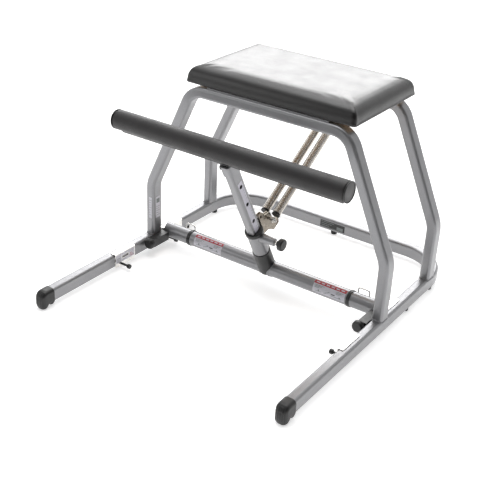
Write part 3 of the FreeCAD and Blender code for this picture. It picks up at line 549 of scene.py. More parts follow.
def tube_rows(path: Sequence[Vector], radius: float | Sequence[float], sides: int,
              loop: bool = False) -> list[list[Vector]]:
    """Return the rings of a round tube along a path, without twist.

    Args:
        path: Points of the centre line.
        radius: The tube's radius, or one for each point.
        sides: Points round the tube.
        loop: Whether the path closes on itself.

    Returns:
        One ring for each point of the path.
    """
    count = len(path)
    rows = []
    across = None
    for index, point in enumerate(path):
        before = path[index - 1] if index or loop else point
        after = path[(index + 1) % count] if index + 1 < count or loop else point
        ahead = (after - before).normalized()
        across = ahead.orthogonal() if across is None else across - ahead * across.dot(ahead)
        across.normalize()
        up = ahead.cross(across)
        size = radius[index] if isinstance(radius, Sequence) else radius
        rows.append([point + (across * math.cos(turn) + up * math.sin(turn)) * size
                     for turn in (2 * math.pi * side / sides for side in range(sides))])
    return rows


def turned_rows(profile: Sequence[tuple[float, float]], base: Vector, axis: Vector,
                sides: int) -> list[list[Vector]]:
    """Return the rings of a piece turned about an axis.

    Args:
        profile: Radius and distance along the axis of each ring.
        base: Where the axis starts.
        axis: Its direction.
        sides: Points round the piece.

    Returns:
        One ring for each point of the profile.
    """
    across = axis.orthogonal().normalized()
    up = axis.cross(across)
    return [[base + axis * far + (across * math.cos(turn) + up * math.sin(turn)) * radius
             for turn in (2 * math.pi * side / sides for side in range(sides))]
            for radius, far in profile]


def fair_curve(marks: Sequence[tuple[float, float]], at: float) -> float:
    """Return the height of a smooth curve through marks.

    Args:
        marks: Place and height of each mark, in order.
        at: The place where it is read.

    Returns:
        The height there, eased between the two marks beside it.
    """
    if at <= marks[0][0]:
        return marks[0][1]
    for (start, low), (end, high) in zip(marks, marks[1:]):
        if at <= end:
            share = (at - start) / (end - start)
            return low + (high - low) * share * share * (3 - 2 * share)
    return marks[-1][1]


def place_piece(item: bpy.types.Object, body: str, slot: str, *nodes: str) -> bpy.types.Object:
    """Hand a finished piece to the frame.

    Args:
        item: The piece.
        body: The body it moves with.
        slot: Not used.
        *nodes: Nodes it stands for.

    Returns:
        The piece.
    """
    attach(item, body)
    if nodes:
        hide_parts(*nodes)
    LOG.info("piece %s on %s", item.name, body)
    return item


@dataclass(frozen=True)
class ArmLine:
    """The press arm's own directions: along it, behind it, and across."""

    axle: Vector
    along: Vector

    @classmethod
    def from_frame(cls, frame: dict) -> "ArmLine":
        """Read the arm's line from the joints.


        Returns:
            The arm's line.
        """
        joints = {joint["name"]: joint for joint in frame["joints"]}
        return cls(Vector(joints["arm_swing"]["pos_m"]), Vector(joints["bar_height"]["axis"]).normalized())

    @property
    def behind(self) -> Vector:
        """Return the direction square to the arm, towards the rear."""
        return Vector((1, 0, 0)).cross(self.along) * -1

    def spot(self, across: float, along: float, behind: float = 0.0) -> Vector:
        """Return a point given by its distances across, along and behind the arm."""
        return self.axle + Vector((across, 0, 0)) + self.along * along + self.behind * behind


# ---------------------------------------------------------------- soft parts


@dataclass
class Upholstery:
    """Turns a plain closed form into a stuffed one by inflating its cloth."""

    voxel: float = 0.005
    pressure: float = 4.0
    travel: float = 0.004
    frames: int = 20
    mass: float = 0.3

    def remeshed(self, rough: bpy.types.Object, name: str) -> bpy.types.Object:
        """Return an evenly meshed copy of a closed form, which is removed.

        Args:
            rough: The closed form.
            name: The copy's name.
        """
        even = rough.modifiers.new("even", "REMESH")
        even.mode = "VOXEL"
        even.voxel_size = self.voxel
        dense = bpy.data.meshes.new_from_object(rough.evaluated_get(bpy.context.evaluated_depsgraph_get()))
        dense.name = name
        item = bpy.data.objects.new(name, dense)
        bpy.context.scene.collection.objects.link(item)
        bpy.data.objects.remove(rough)
        item.name = name
        return item

    def inflate(self, item: bpy.types.Object, held: Callable[[Vector], bool]) -> None:
        """Let the cloth swell, with part of it held still.

        Args:
            item: The evenly meshed piece.
            held: Says whether the cloth is fixed at a point.
        """
        rest = [point.co.copy() for point in item.data.vertices]
        fixed = item.vertex_groups.new(name="fixed")
        fixed.add([index for index, spot in enumerate(rest) if held(spot)], 1.0, "REPLACE")
        cloth = item.modifiers.new("cloth", "CLOTH")
        cloth.settings.quality = 4
        cloth.settings.mass = self.mass
        cloth.settings.use_pressure = True
        cloth.settings.uniform_pressure_force = self.pressure
        cloth.settings.vertex_group_mass = fixed.name
        cloth.settings.effector_weights.gravity = 0
        cloth.collision_settings.use_collision = False
        cloth.point_cache.frame_start = 1
        cloth.point_cache.frame_end = self.frames
        scene = bpy.context.scene
        for frame in range(1, self.frames + 1):
            scene.frame_set(frame)
        swollen = item.evaluated_get(bpy.context.evaluated_depsgraph_get()).data
        moved = [point.co.copy() for point in swollen.vertices]
        item.modifiers.remove(cloth)
        item.vertex_groups.clear()
        scene.frame_set(1)
        for point, start, end in zip(item.data.vertices, rest, moved):
            shift = end - start
            if shift.length > self.travel:
                shift *= self.travel / shift.length
            point.co = start + shift

    @staticmethod
    def refine(item: bpy.types.Object) -> None:
        """Divide a soft piece once more and shade it smoothly."""
        smooth(item.data, 80.0)
        finer = item.modifiers.new("finer", "SUBSURF")
        finer.levels = 1
        finer.render_levels = 1


@dataclass
class SeatCushion:
    """Upholstered seat: a bull-nosed cushion with a folded pleat at each corner."""

    corner: float = 9 * MM
    board_inset: float = 12.4 * MM
    board_depth: float = 12.3 * MM
    swell: float = 2.4 * MM
    pleat_depth: float = 1.6 * MM
    pleat_width: float = 2.2 * MM
    pleat_top: float = 0.62
    fill: float = 0.8
    profile: tuple[tuple[float, float], ...] = (
        (12.4, 12.3), (12.4, 0.2), (3.0, 0.0), (-0.4, 0.0), (-0.6, 4.0), (-0.2, 12.0), (1.0, 20.0),
        (3.4, 28.0), (7.4, 35.8), (13.4, 42.0), (21.5, 46.4), (32.0, 49.0), (46.0, 50.0),
        (90.0, 50.6), (140.0, 50.8))

    def build(self) -> bpy.types.Object:
        """Make the cushion in the place of its plain solid.

        Returns:
            The cushion.
        """
        low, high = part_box("seat_pad")
        middle = (low + high) / 2
        half = (high - low) / 2
        tall = high.z - low.z
        scale = tall / (51 * MM)
        rows = []
        for inset, height in self.profile:
            outline = rounded_outline(half.x - inset * MM, half.y - inset * MM,
                                      max(2 * MM, self.corner - 0.3 * inset * MM), 6, 10)
            rows.append([Vector((middle.x + across, middle.y + along, low.z + height * MM * scale))
                         for across, along in outline])
        shape = Shape()
        shape.skin(rows, ends=(True, True))
        rough = shape.build("seat_form", [Finish.VINYL])
        maker = Upholstery(voxel=4.6 * MM, travel=self.swell, pressure=5.0)
        cushion = maker.remeshed(rough, "seat_cushion")
        board_top = low.z + self.board_depth
        maker.inflate(cushion, lambda spot: spot.z < low.z + 3 * MM or (
            spot.z < board_top + 2 * MM and self.over_board(spot, middle, half)))
        self.pleat_corners(cushion, middle, half, low.z, tall)
        maker.refine(cushion)
        return place_piece(cushion, "frame", "seat_vinyl", "seat_pad")

    def over_board(self, spot: Vector, middle: Vector, half: Vector) -> bool:
        """Say whether a point is over the seat's board, inside its edge."""
        edge = self.board_inset - 1 * MM
        return abs(spot.x - middle.x) < half.x - edge and abs(spot.y - middle.y) < half.y - edge

    def pleat_corners(self, cushion: bpy.types.Object, middle: Vector, half: Vector, floor: float,
                      tall: float) -> None:
        """Press a folded seam into each corner, fading out towards the top.

        Args:
            cushion: The cushion.
            middle: Its middle.
            half: Half of its size.
            floor: Height of its lower face.
            tall: Its thickness.
        """
        for point in cushion.data.vertices:
            across = abs(point.co.x - middle.x) - half.x
            along = abs(point.co.y - middle.y) - half.y
            rise = (point.co.z - floor) / tall
            if across + along < -60 * MM or rise > self.pleat_top or rise < 0.02:
                continue
            off_line = (across - along) / math.sqrt(2)
            fade = 1 - (rise / self.pleat_top) ** 2
            depth = self.pleat_depth * fade * math.exp(-(off_line / self.pleat_width) ** 2)
            outward = Vector((math.copysign(1, point.co.x - middle.x),
                              math.copysign(1, point.co.y - middle.y), 0)).normalized()
            point.co -= outward * depth


@dataclass
class PressBar:
    """Foam grip of the press bar, with its end discs."""

    arm: ArmLine
    swell: float = 1.6 * MM
    slack: float = 1.0 * MM
    bore_gap: float = 0.3 * MM
    rings: int = 120
    around: int = 56
    fill: float = 0.9

    def build(self) -> None:
        """Make the grip and both discs."""
        self.build_grip()
        for side, sign in SIDES.items():
            self.build_disc(side, sign)

    @property
    def centre(self) -> Vector:
        """Return the middle of the bar."""
        low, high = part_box("bar_core")
        return (low + high) / 2

    def build_grip(self) -> bpy.types.Object:
        """Make the foam grip.

        Returns:
            The grip.
        """
        low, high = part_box("bar_pad")
        core_low, core_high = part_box("bar_core")
        centre = self.centre
        core = (core_high.y - core_low.y) / 2 + self.bore_gap
        outer = (high.z - low.z) / 2 - self.slack
        plate_top = self.plate_top()
        half = (high.x - low.x) / 2 - 0.2 * MM
        stations = [-half + 2 * half * step / self.rings for step in range(self.rings + 1)]
        rows = [self.ring(centre, station, outer, plate_top) for station in stations]
        rows = [self.ring(centre, -half, outer - 3 * MM, plate_top)] + rows
        rows += [self.ring(centre, half, outer - 3 * MM, plate_top)]
        inner = [self.ring(centre, station, core, core) for station in reversed(stations)]
        shape = Shape()
        shape.skin(rows + inner, loop=True)
        rough = shape.build("grip_form", [Finish.FOAM])
        maker = Upholstery(voxel=4.0 * MM, travel=self.swell, pressure=3.0)
        grip = maker.remeshed(rough, "bar_grip")
        maker.inflate(grip, lambda spot: self.held(spot, centre, core, plate_top, half))
        maker.refine(grip)
        return place_piece(grip, "bar_slide", "bar_foam", "bar_pad")

    def plate_top(self) -> float:
        """Return how far the plate under the bar is below its middle."""
        mesh = bpy.data.objects["bar_plate"].data
        centre = self.centre
        return -max((point.co - centre).dot(self.arm.along) for point in mesh.vertices) + 0.2 * MM

    def ring(self, centre: Vector, station: float, radius: float, flat: float) -> list[Vector]:
        """Return one ring of the grip, flat where it lies on the plate.

        Args:
            centre: The middle of the bar.
            station: Distance along the bar.
            radius: The ring's radius.
            flat: How far down it may reach.

        Returns:
            The ring's points.
        """
        points = []
        for step in range(self.around):
            turn = 2 * math.pi * step / self.around
            down = max(-flat, radius * math.sin(turn))
            points.append(centre + Vector((station, 0, 0)) + self.arm.along * down
                          + self.arm.behind * radius * math.cos(turn))
        return points

    def held(self, spot: Vector, centre: Vector, core: float, flat: float, half: float) -> bool:
        """Say whether the foam is held at a point: at the core, the plate and the ends."""
        offset = spot - centre
        radial = math.hypot(offset.y, offset.z)
        down = -offset.dot(self.arm.along)
        return radial < core + 4 * MM or down > flat - 1 * MM or abs(offset.x) > half - 2 * MM

    def build_disc(self, side: str, sign: int) -> bpy.types.Object:
        """Make an end disc: a black rim round a dark grey inset.

        Args:
            side: Name of its side.
            sign: -1 for left and 1 for right.

        Returns:
            The disc.
        """
        node = "bar_cap_" + side
        low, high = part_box(node)
        radius = (high.z - low.z) / 2
        thick = high.x - low.x
        start = Vector((low.x if sign > 0 else high.x, (low.y + high.y) / 2, (low.z + high.z) / 2))
        rim = [(radius - 3 * MM, 0), (radius - 0.6 * MM, 0.1 * MM), (radius, 0.9 * MM),
               (radius, thick - 1.4 * MM), (radius - 0.5 * MM, thick - 0.4 * MM),
               (radius - 1.4 * MM, thick), (radius - 2.6 * MM, thick),
               (radius - 3.3 * MM, thick - 0.5 * MM), (radius - 3.6 * MM, thick - 1.6 * MM)]
        inset = [(radius - 3.6 * MM, thick - 1.6 * MM), (radius - 4.4 * MM, thick - 1.3 * MM),
                 (radius * 0.55, thick - 1.1 * MM), (radius * 0.2, thick - 1.0 * MM)]
        axis = Vector((sign, 0, 0))
        shape = Shape()
        shape.skin(turned_rows(rim, start, axis, 64), ends=(True, False), finish=0)
        shape.skin(turned_rows(inset, start, axis, 64), ends=(False, True), finish=1)
        disc = shape.build("bar_end_disc_" + side, [Finish.BLACK, Finish.DISC])
        return place_piece(disc, "bar_slide", "black_plastic", node)


# ---------------------------------------------------------------- springs


@dataclass
class ExtensionSprings:
    """The two closed-coil springs with their end eyes, which pull on a bolt."""

    axis: Vector
    pin: Vector
    turn_points: int = 22
    wire_sides: int = 8
    wire: float = 1.5 * MM
    lay: float = 3.04 * MM
    eye: float = 6.5 * MM
    eye_wire: float = 1.5 * MM
    inset: float = 20 * MM

    @classmethod
    def from_frame(cls, frame: dict) -> "ExtensionSprings":
        """Read the springs' line from the joints.


        Returns:
            The springs.
        """
        joints = {joint["name"]: joint for joint in frame["joints"]}
        return cls(Vector(joints["spring_stretch"]["axis"]).normalized(),
                   Vector(joints["spring_turn"]["pos_m"]))

    def build(self) -> None:
        """Make both springs and their end eyes."""
        upper_low, upper_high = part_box("hanger_pin")
        hanger = (upper_low + upper_high) / 2
        span = (hanger - self.pin).dot(self.axis)
        for side in SIDES:
            low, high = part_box("spring_" + side)
            across = (low.x + high.x) / 2
            radius = (high.x - low.x) / 2
            base = Vector((across, self.pin.y, self.pin.z))
            self.build_coil(side, base, radius, span)
            self.build_eye(side, "lower", base, 1, "spring_lower")
            self.build_eye(side, "upper", base + self.axis * span, -1, "spring_upper")

    def build_coil(self, side: str, base: Vector, radius: float, span: float) -> bpy.types.Object:
        """Make one wound coil, which runs between its two ends.

        Args:
            side: Name of its side.
            base: Its point on the lower pin's line.
            radius: The coil's outer radius.
            span: Distance between the pins.

        Returns:
            The coil.
        """
        mean = radius - self.wire
        across = Vector((1, 0, 0))
        up = self.axis.cross(across)
        start = self.inset + self.wire
        turns = (span - 2 * self.inset - 2 * self.wire) / self.lay
        steps = int(turns * self.turn_points)
        path = []
        for step in range(steps + 1):
            turn = 2 * math.pi * step / self.turn_points
            far = start + self.lay * step / self.turn_points
            path.append(base + self.axis * far + (across * math.cos(turn) + up * math.sin(turn)) * mean)
        shape = Shape()
        shape.skin(tube_rows(path, self.wire, self.wire_sides), ends=(True, True))
        coil = shape.build("spring_coil_" + side, [Finish.NICKEL], 80.0)
        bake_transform(coil)
        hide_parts("spring_" + side)
        LOG.info("piece %s, %d turns", coil.name, int(turns))
        return coil

    def build_eye(self, side: str, end: str, pin: Vector, sign: int, body: str) -> bpy.types.Object:
        """Make the eye of wire at one end of a spring.

        Args:
            side: Name of the spring's side.
            end: Name of its end.
            pin: The eye's middle, on the pin.
            sign: 1 where the coil lies ahead along the axis, -1 where it lies behind.
            body: The body it moves with.

        Returns:
            The eye.
        """
        ahead = self.axis * sign
        aside = ahead.cross(Vector((1, 0, 0)))
        shank = self.inset + 7 * MM
        path = [pin + ahead * (shank - (shank - self.eye) * step / 6) for step in range(6)]
        for step in range(33):
            turn = math.radians(90 - 345 * step / 32)
            path.append(pin + ahead * math.sin(turn) * self.eye + aside * math.cos(turn) * self.eye)
        shape = Shape()
        shape.skin(tube_rows(path, self.eye_wire, 12), ends=(True, True))
        return place_piece(shape.build("spring_eye_%s_%s" % (end, side), [Finish.NICKEL], 80.0), body,
                           "spring_steel")


@dataclass
class CrossBolt:
    """Bolt through two plates: a washer and hexagon head at one end, a nut at the other."""

    node: str
    name: str
    body: str
    head: float = 6.4 * MM
    head_thick: float = 4.4 * MM
    washer: float = 8.0 * MM
    washer_thick: float = 1.3 * MM

    def build(self) -> bpy.types.Object:
        """Make the bolt in the place of its plain pin.

        Returns:
            The bolt.
        """
        low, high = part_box(self.node)
        shank = (high.y - low.y) / 2
        shape = Shape()
        axis = Vector((1, 0, 0))
        base = Vector((low.x, (low.y + high.y) / 2, (low.z + high.z) / 2))
        length = high.x - low.x
        shape.skin(turned_rows([(shank - 0.6 * MM, 0), (shank, 0.6 * MM), (shank, length - 0.6 * MM),
                                (shank - 0.6 * MM, length)], base, axis, 32), ends=(True, True))
        for end, inward in ((0.0, 1), (length, -1)):
            face = base + axis * end
            drive = axis * inward
            self.add_hexagon(shape, face, drive)
            washer = face + drive * self.head_thick
            shape.skin(turned_rows([(self.washer - 0.3 * MM, 0), (self.washer, 0.3 * MM),
                                    (self.washer, self.washer_thick - 0.3 * MM),
                                    (self.washer - 0.3 * MM, self.washer_thick)], washer, drive, 40),
                       ends=(True, True))
        return place_piece(shape.build(self.name, [Finish.ZINC], 30.0), self.body, "plated_steel",
                           self.node)

    def add_hexagon(self, shape: Shape, face: Vector, drive: Vector) -> None:
        """Add a chamfered hexagon.

        Args:
            shape: The shape it is added to.
            face: The middle of its outer face.
            drive: The direction of its thickness.
        """
        profile = [(self.head * 0.84, 0.0), (self.head, 0.7 * MM), (self.head, self.head_thick)]
        shape.skin(turned_rows(profile, face, drive, 6), ends=(True, True))


# ---------------------------------------------------------------- fittings on the frame


@dataclass
class RailCap:
    """Moulded cap on a rail's front end: rounded nose, ribs, and a shoe and heel on the floor."""

    side: str
    stations: int = 26
    rib_count: int = 5
    rib_pitch: float = 5.2 * MM
    rib_wire: float = 0.8 * MM
    rail_axis: float = 31 * MM
    bottom: tuple[tuple[float, float], ...] = (
        (0, 17), (2, 7), (5, 1.0), (8, 0), (14, 0), (18, 2.5), (23, 9), (29, 9), (34, 4), (38, 3.5),
        (43, 7))
    top: tuple[tuple[float, float], ...] = ((0, 33), (2.5, 42), (7, 48), (14, 52), (20, 53), (43, 53))
    width: tuple[tuple[float, float], ...] = (
        (0, 6.5), (1.5, 10.5), (5, 14.5), (10, 16.6), (16, 17), (43, 17))

    def build(self) -> bpy.types.Object:
        """Make the cap in the place of its plain solid.

        Returns:
            The cap.
        """
        node = "end_cap_" + self.side
        low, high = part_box(node)
        middle = (low.x + high.x) / 2
        deep = high.y - low.y
        rows = []
        for station in range(self.stations + 1):
            share = (station / self.stations) ** 1.5
            rows.append(self.section(middle, low.y, deep * share))
        back = self.section(middle, low.y, deep)
        axis = self.rail_axis
        inner = [[Vector((middle + (point.x - middle) * shrink, high.y - depth,
                          axis + (point.z - axis) * shrink))
                  for point in back] for shrink, depth in ((0.93, 0.0), (0.885, 1.0 * MM))]
        shape = Shape()
        shape.skin(rows + inner, ends=(True, True))
        cap = shape.build(node.replace("end_cap", "rail_cap"), [Finish.BLACK], 50.0)
        self.add_ribs(cap, middle, low.y)
        return place_piece(cap, "frame", "black_plastic", node)

    def section(self, middle: float, front: float, depth: float) -> list[Vector]:
        """Return the cap's outline at a depth behind its nose.

        Args:
            middle: Its middle along X.
            front: Where its nose is.
            depth: How far behind the nose.

        Returns:
            The outline's points.
        """
        at = depth / MM
        low = fair_curve(self.bottom, at) * MM
        high = fair_curve(self.top, at) * MM
        wide = fair_curve(self.width, at) * MM
        outline = rounded_outline(wide, (high - low) / 2, min(11 * MM, wide * 0.8), 7, 3)
        return [Vector((middle + across, front + depth, (high + low) / 2 + up)) for across, up in outline]

    def add_ribs(self, cap: bpy.types.Object, middle: float, front: float) -> None:
        """Lay raised ribs over the nose, from its brow down to its shoe.

        Args:
            cap: The cap, which gains the ribs.
            middle: Its middle along X.
            front: Where its nose is.
        """
        tree = BVHTree.FromObject(cap, bpy.context.evaluated_depsgraph_get())
        ribs = bmesh.new()
        ribs.from_mesh(cap.data)
        for index in range(self.rib_count):
            across = middle + (index - (self.rib_count - 1) / 2) * self.rib_pitch
            path = []
            for step in range(25):
                turn = math.radians(-48 + 118 * step / 24)
                aim = Vector((0, math.cos(turn), -math.sin(turn)))
                origin = Vector((across, front + 22 * MM, 29 * MM)) - aim * 60 * MM
                found = tree.ray_cast(origin, aim)[0]
                if found is not None:
                    path.append(found)
            if len(path) < 3:
                continue
            radii = [self.rib_wire * min(1.0, 0.35 + 0.65 * min(step, len(path) - 1 - step) / 3)
                     for step in range(len(path))]
            rib = Shape()
            rib.skin(tube_rows(path, radii, 8), ends=(True, True))
            mesh = bpy.data.meshes.new("rib")
            mesh.from_pydata(rib.points, [], rib.faces)
            ribs.from_mesh(mesh)
            bpy.data.meshes.remove(mesh)
        bmesh.ops.recalc_face_normals(ribs, faces=ribs.faces)
        ribs.to_mesh(cap.data)
        ribs.free()
        smooth(cap.data, 50.0)


@dataclass
class ArchFoot:
    """Where one foot of an arch stands on its rail, and how far the arch leans back."""

    low: Vector
    high: Vector
    lean: float

    @classmethod
    def from_node(cls, arch: bpy.types.Object, sign: int) -> "ArchFoot":
        """Measure a foot.

        Args:
            arch: The arch's node.
            sign: -1 for the left foot and 1 for the right one.

        Returns:
            The foot.
        """
        spots = [arch.matrix_world @ point.co for point in arch.data.vertices]
        bottom = min(spot.z for spot in spots)
        foot = [spot for spot in spots if spot.z < bottom + 0.5 * MM and spot.x * sign > 0]
        low = Vector((min(spot.x for spot in foot), min(spot.y for spot in foot), bottom))
        high = Vector((max(spot.x for spot in foot), max(spot.y for spot in foot), bottom))
        rearmost = max(spots, key=lambda spot: spot.y)
        return cls(low, high, math.atan2(rearmost.y - high.y, rearmost.z - bottom))

    @property
    def along(self) -> Vector:
        """Return the direction up the leg."""
        return Vector((0, math.sin(self.lean), math.cos(self.lean)))

    def face(self, across: float, behind: float, level: float) -> Vector:
        """Return a point of the leg.

        Args:
            across: Distance to the right of the leg's middle.
            behind: Distance behind its middle, where it stands on the rail.
            level: Height above the floor.

        Returns:
            The point.
        """
        middle = (self.low + self.high) / 2
        back = (level - middle.z) * math.tan(self.lean)
        return Vector((middle.x + across, middle.y + behind + back, level))


@dataclass
class FrameWelds:
    """Painted weld beads round the feet of the arches and where the sleeve meets the axle tube."""

    arm: ArmLine
    nodes: dict[str, bpy.types.Object]
    bead: float = 2.3 * MM
    ripple: float = 0.28 * MM
    ripple_pitch: float = 3.4 * MM
    tube_round: float = 8 * MM
    dip: float = 3 * MM
    rise: float = 0.4 * MM
    sleeve_step: float = 1.25 * MM
    boot_wall: float = 2 * MM
    ring_steps: int = 60

    def build(self) -> None:
        """Make every bead."""
        for arch in ("front_arch", "rear_arch"):
            for side, sign in SIDES.items():
                self.build_foot(arch, side, sign)
        for side, sign in SIDES.items():
            self.build_sleeve_ring(side, sign)

    def bead_along(self, name: str, path: Sequence[Vector], body: str) -> bpy.types.Object:
        """Make a rippled bead along a closed path.

        Args:
            name: The bead's name.
            path: Its closed centre line.
            body: The body it moves with.

        Returns:
            The bead.
        """
        far = 0.0
        radii = []
        for index, point in enumerate(path):
            radii.append(self.bead + self.ripple * math.sin(2 * math.pi * far / self.ripple_pitch)
                         + 0.5 * self.ripple * math.sin(2 * math.pi * far / (5.3 * self.ripple_pitch)))
            far += (path[(index + 1) % len(path)] - point).length
        shape = Shape()
        shape.skin(tube_rows(path, radii, 8, loop=True), loop=True)
        return place_piece(shape.build(name, [Finish.PAINT], 80.0), body, "frame_paint")

    def build_foot(self, arch: str, side: str, sign: int) -> None:
        """Make the bead round one foot of an arch, which dips over the rail's shoulders.

        Args:
            arch: Name of the arch.
            side: Name of the foot's side.
            sign: -1 for left and 1 for right.
        """
        foot = ArchFoot.from_node(self.nodes[arch], sign)
        middle = (foot.low + foot.high) / 2
        half = (foot.high - foot.low) / 2
        path = []
        for across, along in rounded_outline(half.x, half.y, self.tube_round, 10, 9):
            over = max(0.0, abs(across) - (half.x - self.tube_round))
            drop = self.tube_round - math.sqrt(max(0.0, self.tube_round ** 2 - over ** 2))
            path.append(middle + Vector((across, along, self.rise - min(drop, self.dip))))
        self.bead_along("weld_%s_%s" % (arch, side), path, "frame")

    def build_sleeve_ring(self, side: str, sign: int) -> None:
        """Make the bead where the axle tube runs into the sleeve.

        Args:
            side: Name of the side.
            sign: -1 for left and 1 for right.
        """
        low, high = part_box("axle_tube_" + side)
        tube = (high.z - low.z) / 2
        sleeve = tube + self.sleeve_step + self.boot_wall
        path = []
        for step in range(self.ring_steps):
            turn = 2 * math.pi * step / self.ring_steps
            along = math.cos(turn) * tube
            behind = math.sin(turn) * tube
            across = math.sqrt(max(0.0, sleeve ** 2 - behind ** 2))
            path.append(self.arm.spot(sign * across, along, behind))
        self.bead_along("weld_sleeve_" + side, path, "press_arm")


class Wrap(Enum):
    """How a label lies on what carries it."""

    FLAT = "flat"
    ROUND = "round"


@dataclass
class Label:
    """Thin printed label made of patches on a flat or round face."""

    name: str
    body: str
    slot: str
    origin: Vector
    across: Vector
    up: Vector
    wrap: Wrap = Wrap.FLAT
    radius: float = 1.0
    lift: float = 0.12 * MM
    shape: Shape = field(default_factory=Shape)
    finishes: list[Finish] = field(default_factory=list)

    def spot(self, right: float, high: float, lift: float) -> Vector:
        """Return a point of the label in space.

        Args:
            right: Distance to the right of its origin.
            high: Distance up from it, round the tube on a round face.
            lift: Distance off the face.

        Returns:
            The point.
        """
        outward = self.across.cross(self.up)
        if self.wrap is Wrap.FLAT:
            return self.origin + self.across * right + self.up * high + outward * lift
        turn = high / self.radius
        ray = outward * math.cos(turn) + self.up * math.sin(turn)
        return self.origin + self.across * right + ray * (self.radius + lift)

    def patch(self, finish: Finish, left: float, right: float, low: float, high: float,
              layer: int = 0) -> None:
        """Add a rectangle of film.

        Args:
            finish: Its finish.
            left: Its left edge, in millimetres.
            right: Its right edge.
            low: Its lower edge.
            high: Its upper edge.
            layer: 0 for the film, 1 for print on it.
        """
        if finish not in self.finishes:
            self.finishes.append(finish)
        lift = self.lift + layer * PRINT_STEP
        parts = 12 if self.wrap is Wrap.ROUND else 1
        under = []
        over = []
        for step in range(parts + 1):
            height = (low + (high - low) * step / parts) * MM
            over.append([self.spot(left * MM, height, lift), self.spot(right * MM, height, lift)])
            under.append([self.spot(right * MM, height, FILM_ROOT), self.spot(left * MM, height, FILM_ROOT)])
        rows = [top + bottom for top, bottom in zip(over, under)]
        self.shape.skin(rows, ends=(True, True), finish=self.finishes.index(finish))

    def build(self) -> bpy.types.Object:
        """Make the label.

        Returns:
            The label.
        """
        return place_piece(self.shape.build(self.name, self.finishes, 30.0), self.body, self.slot)


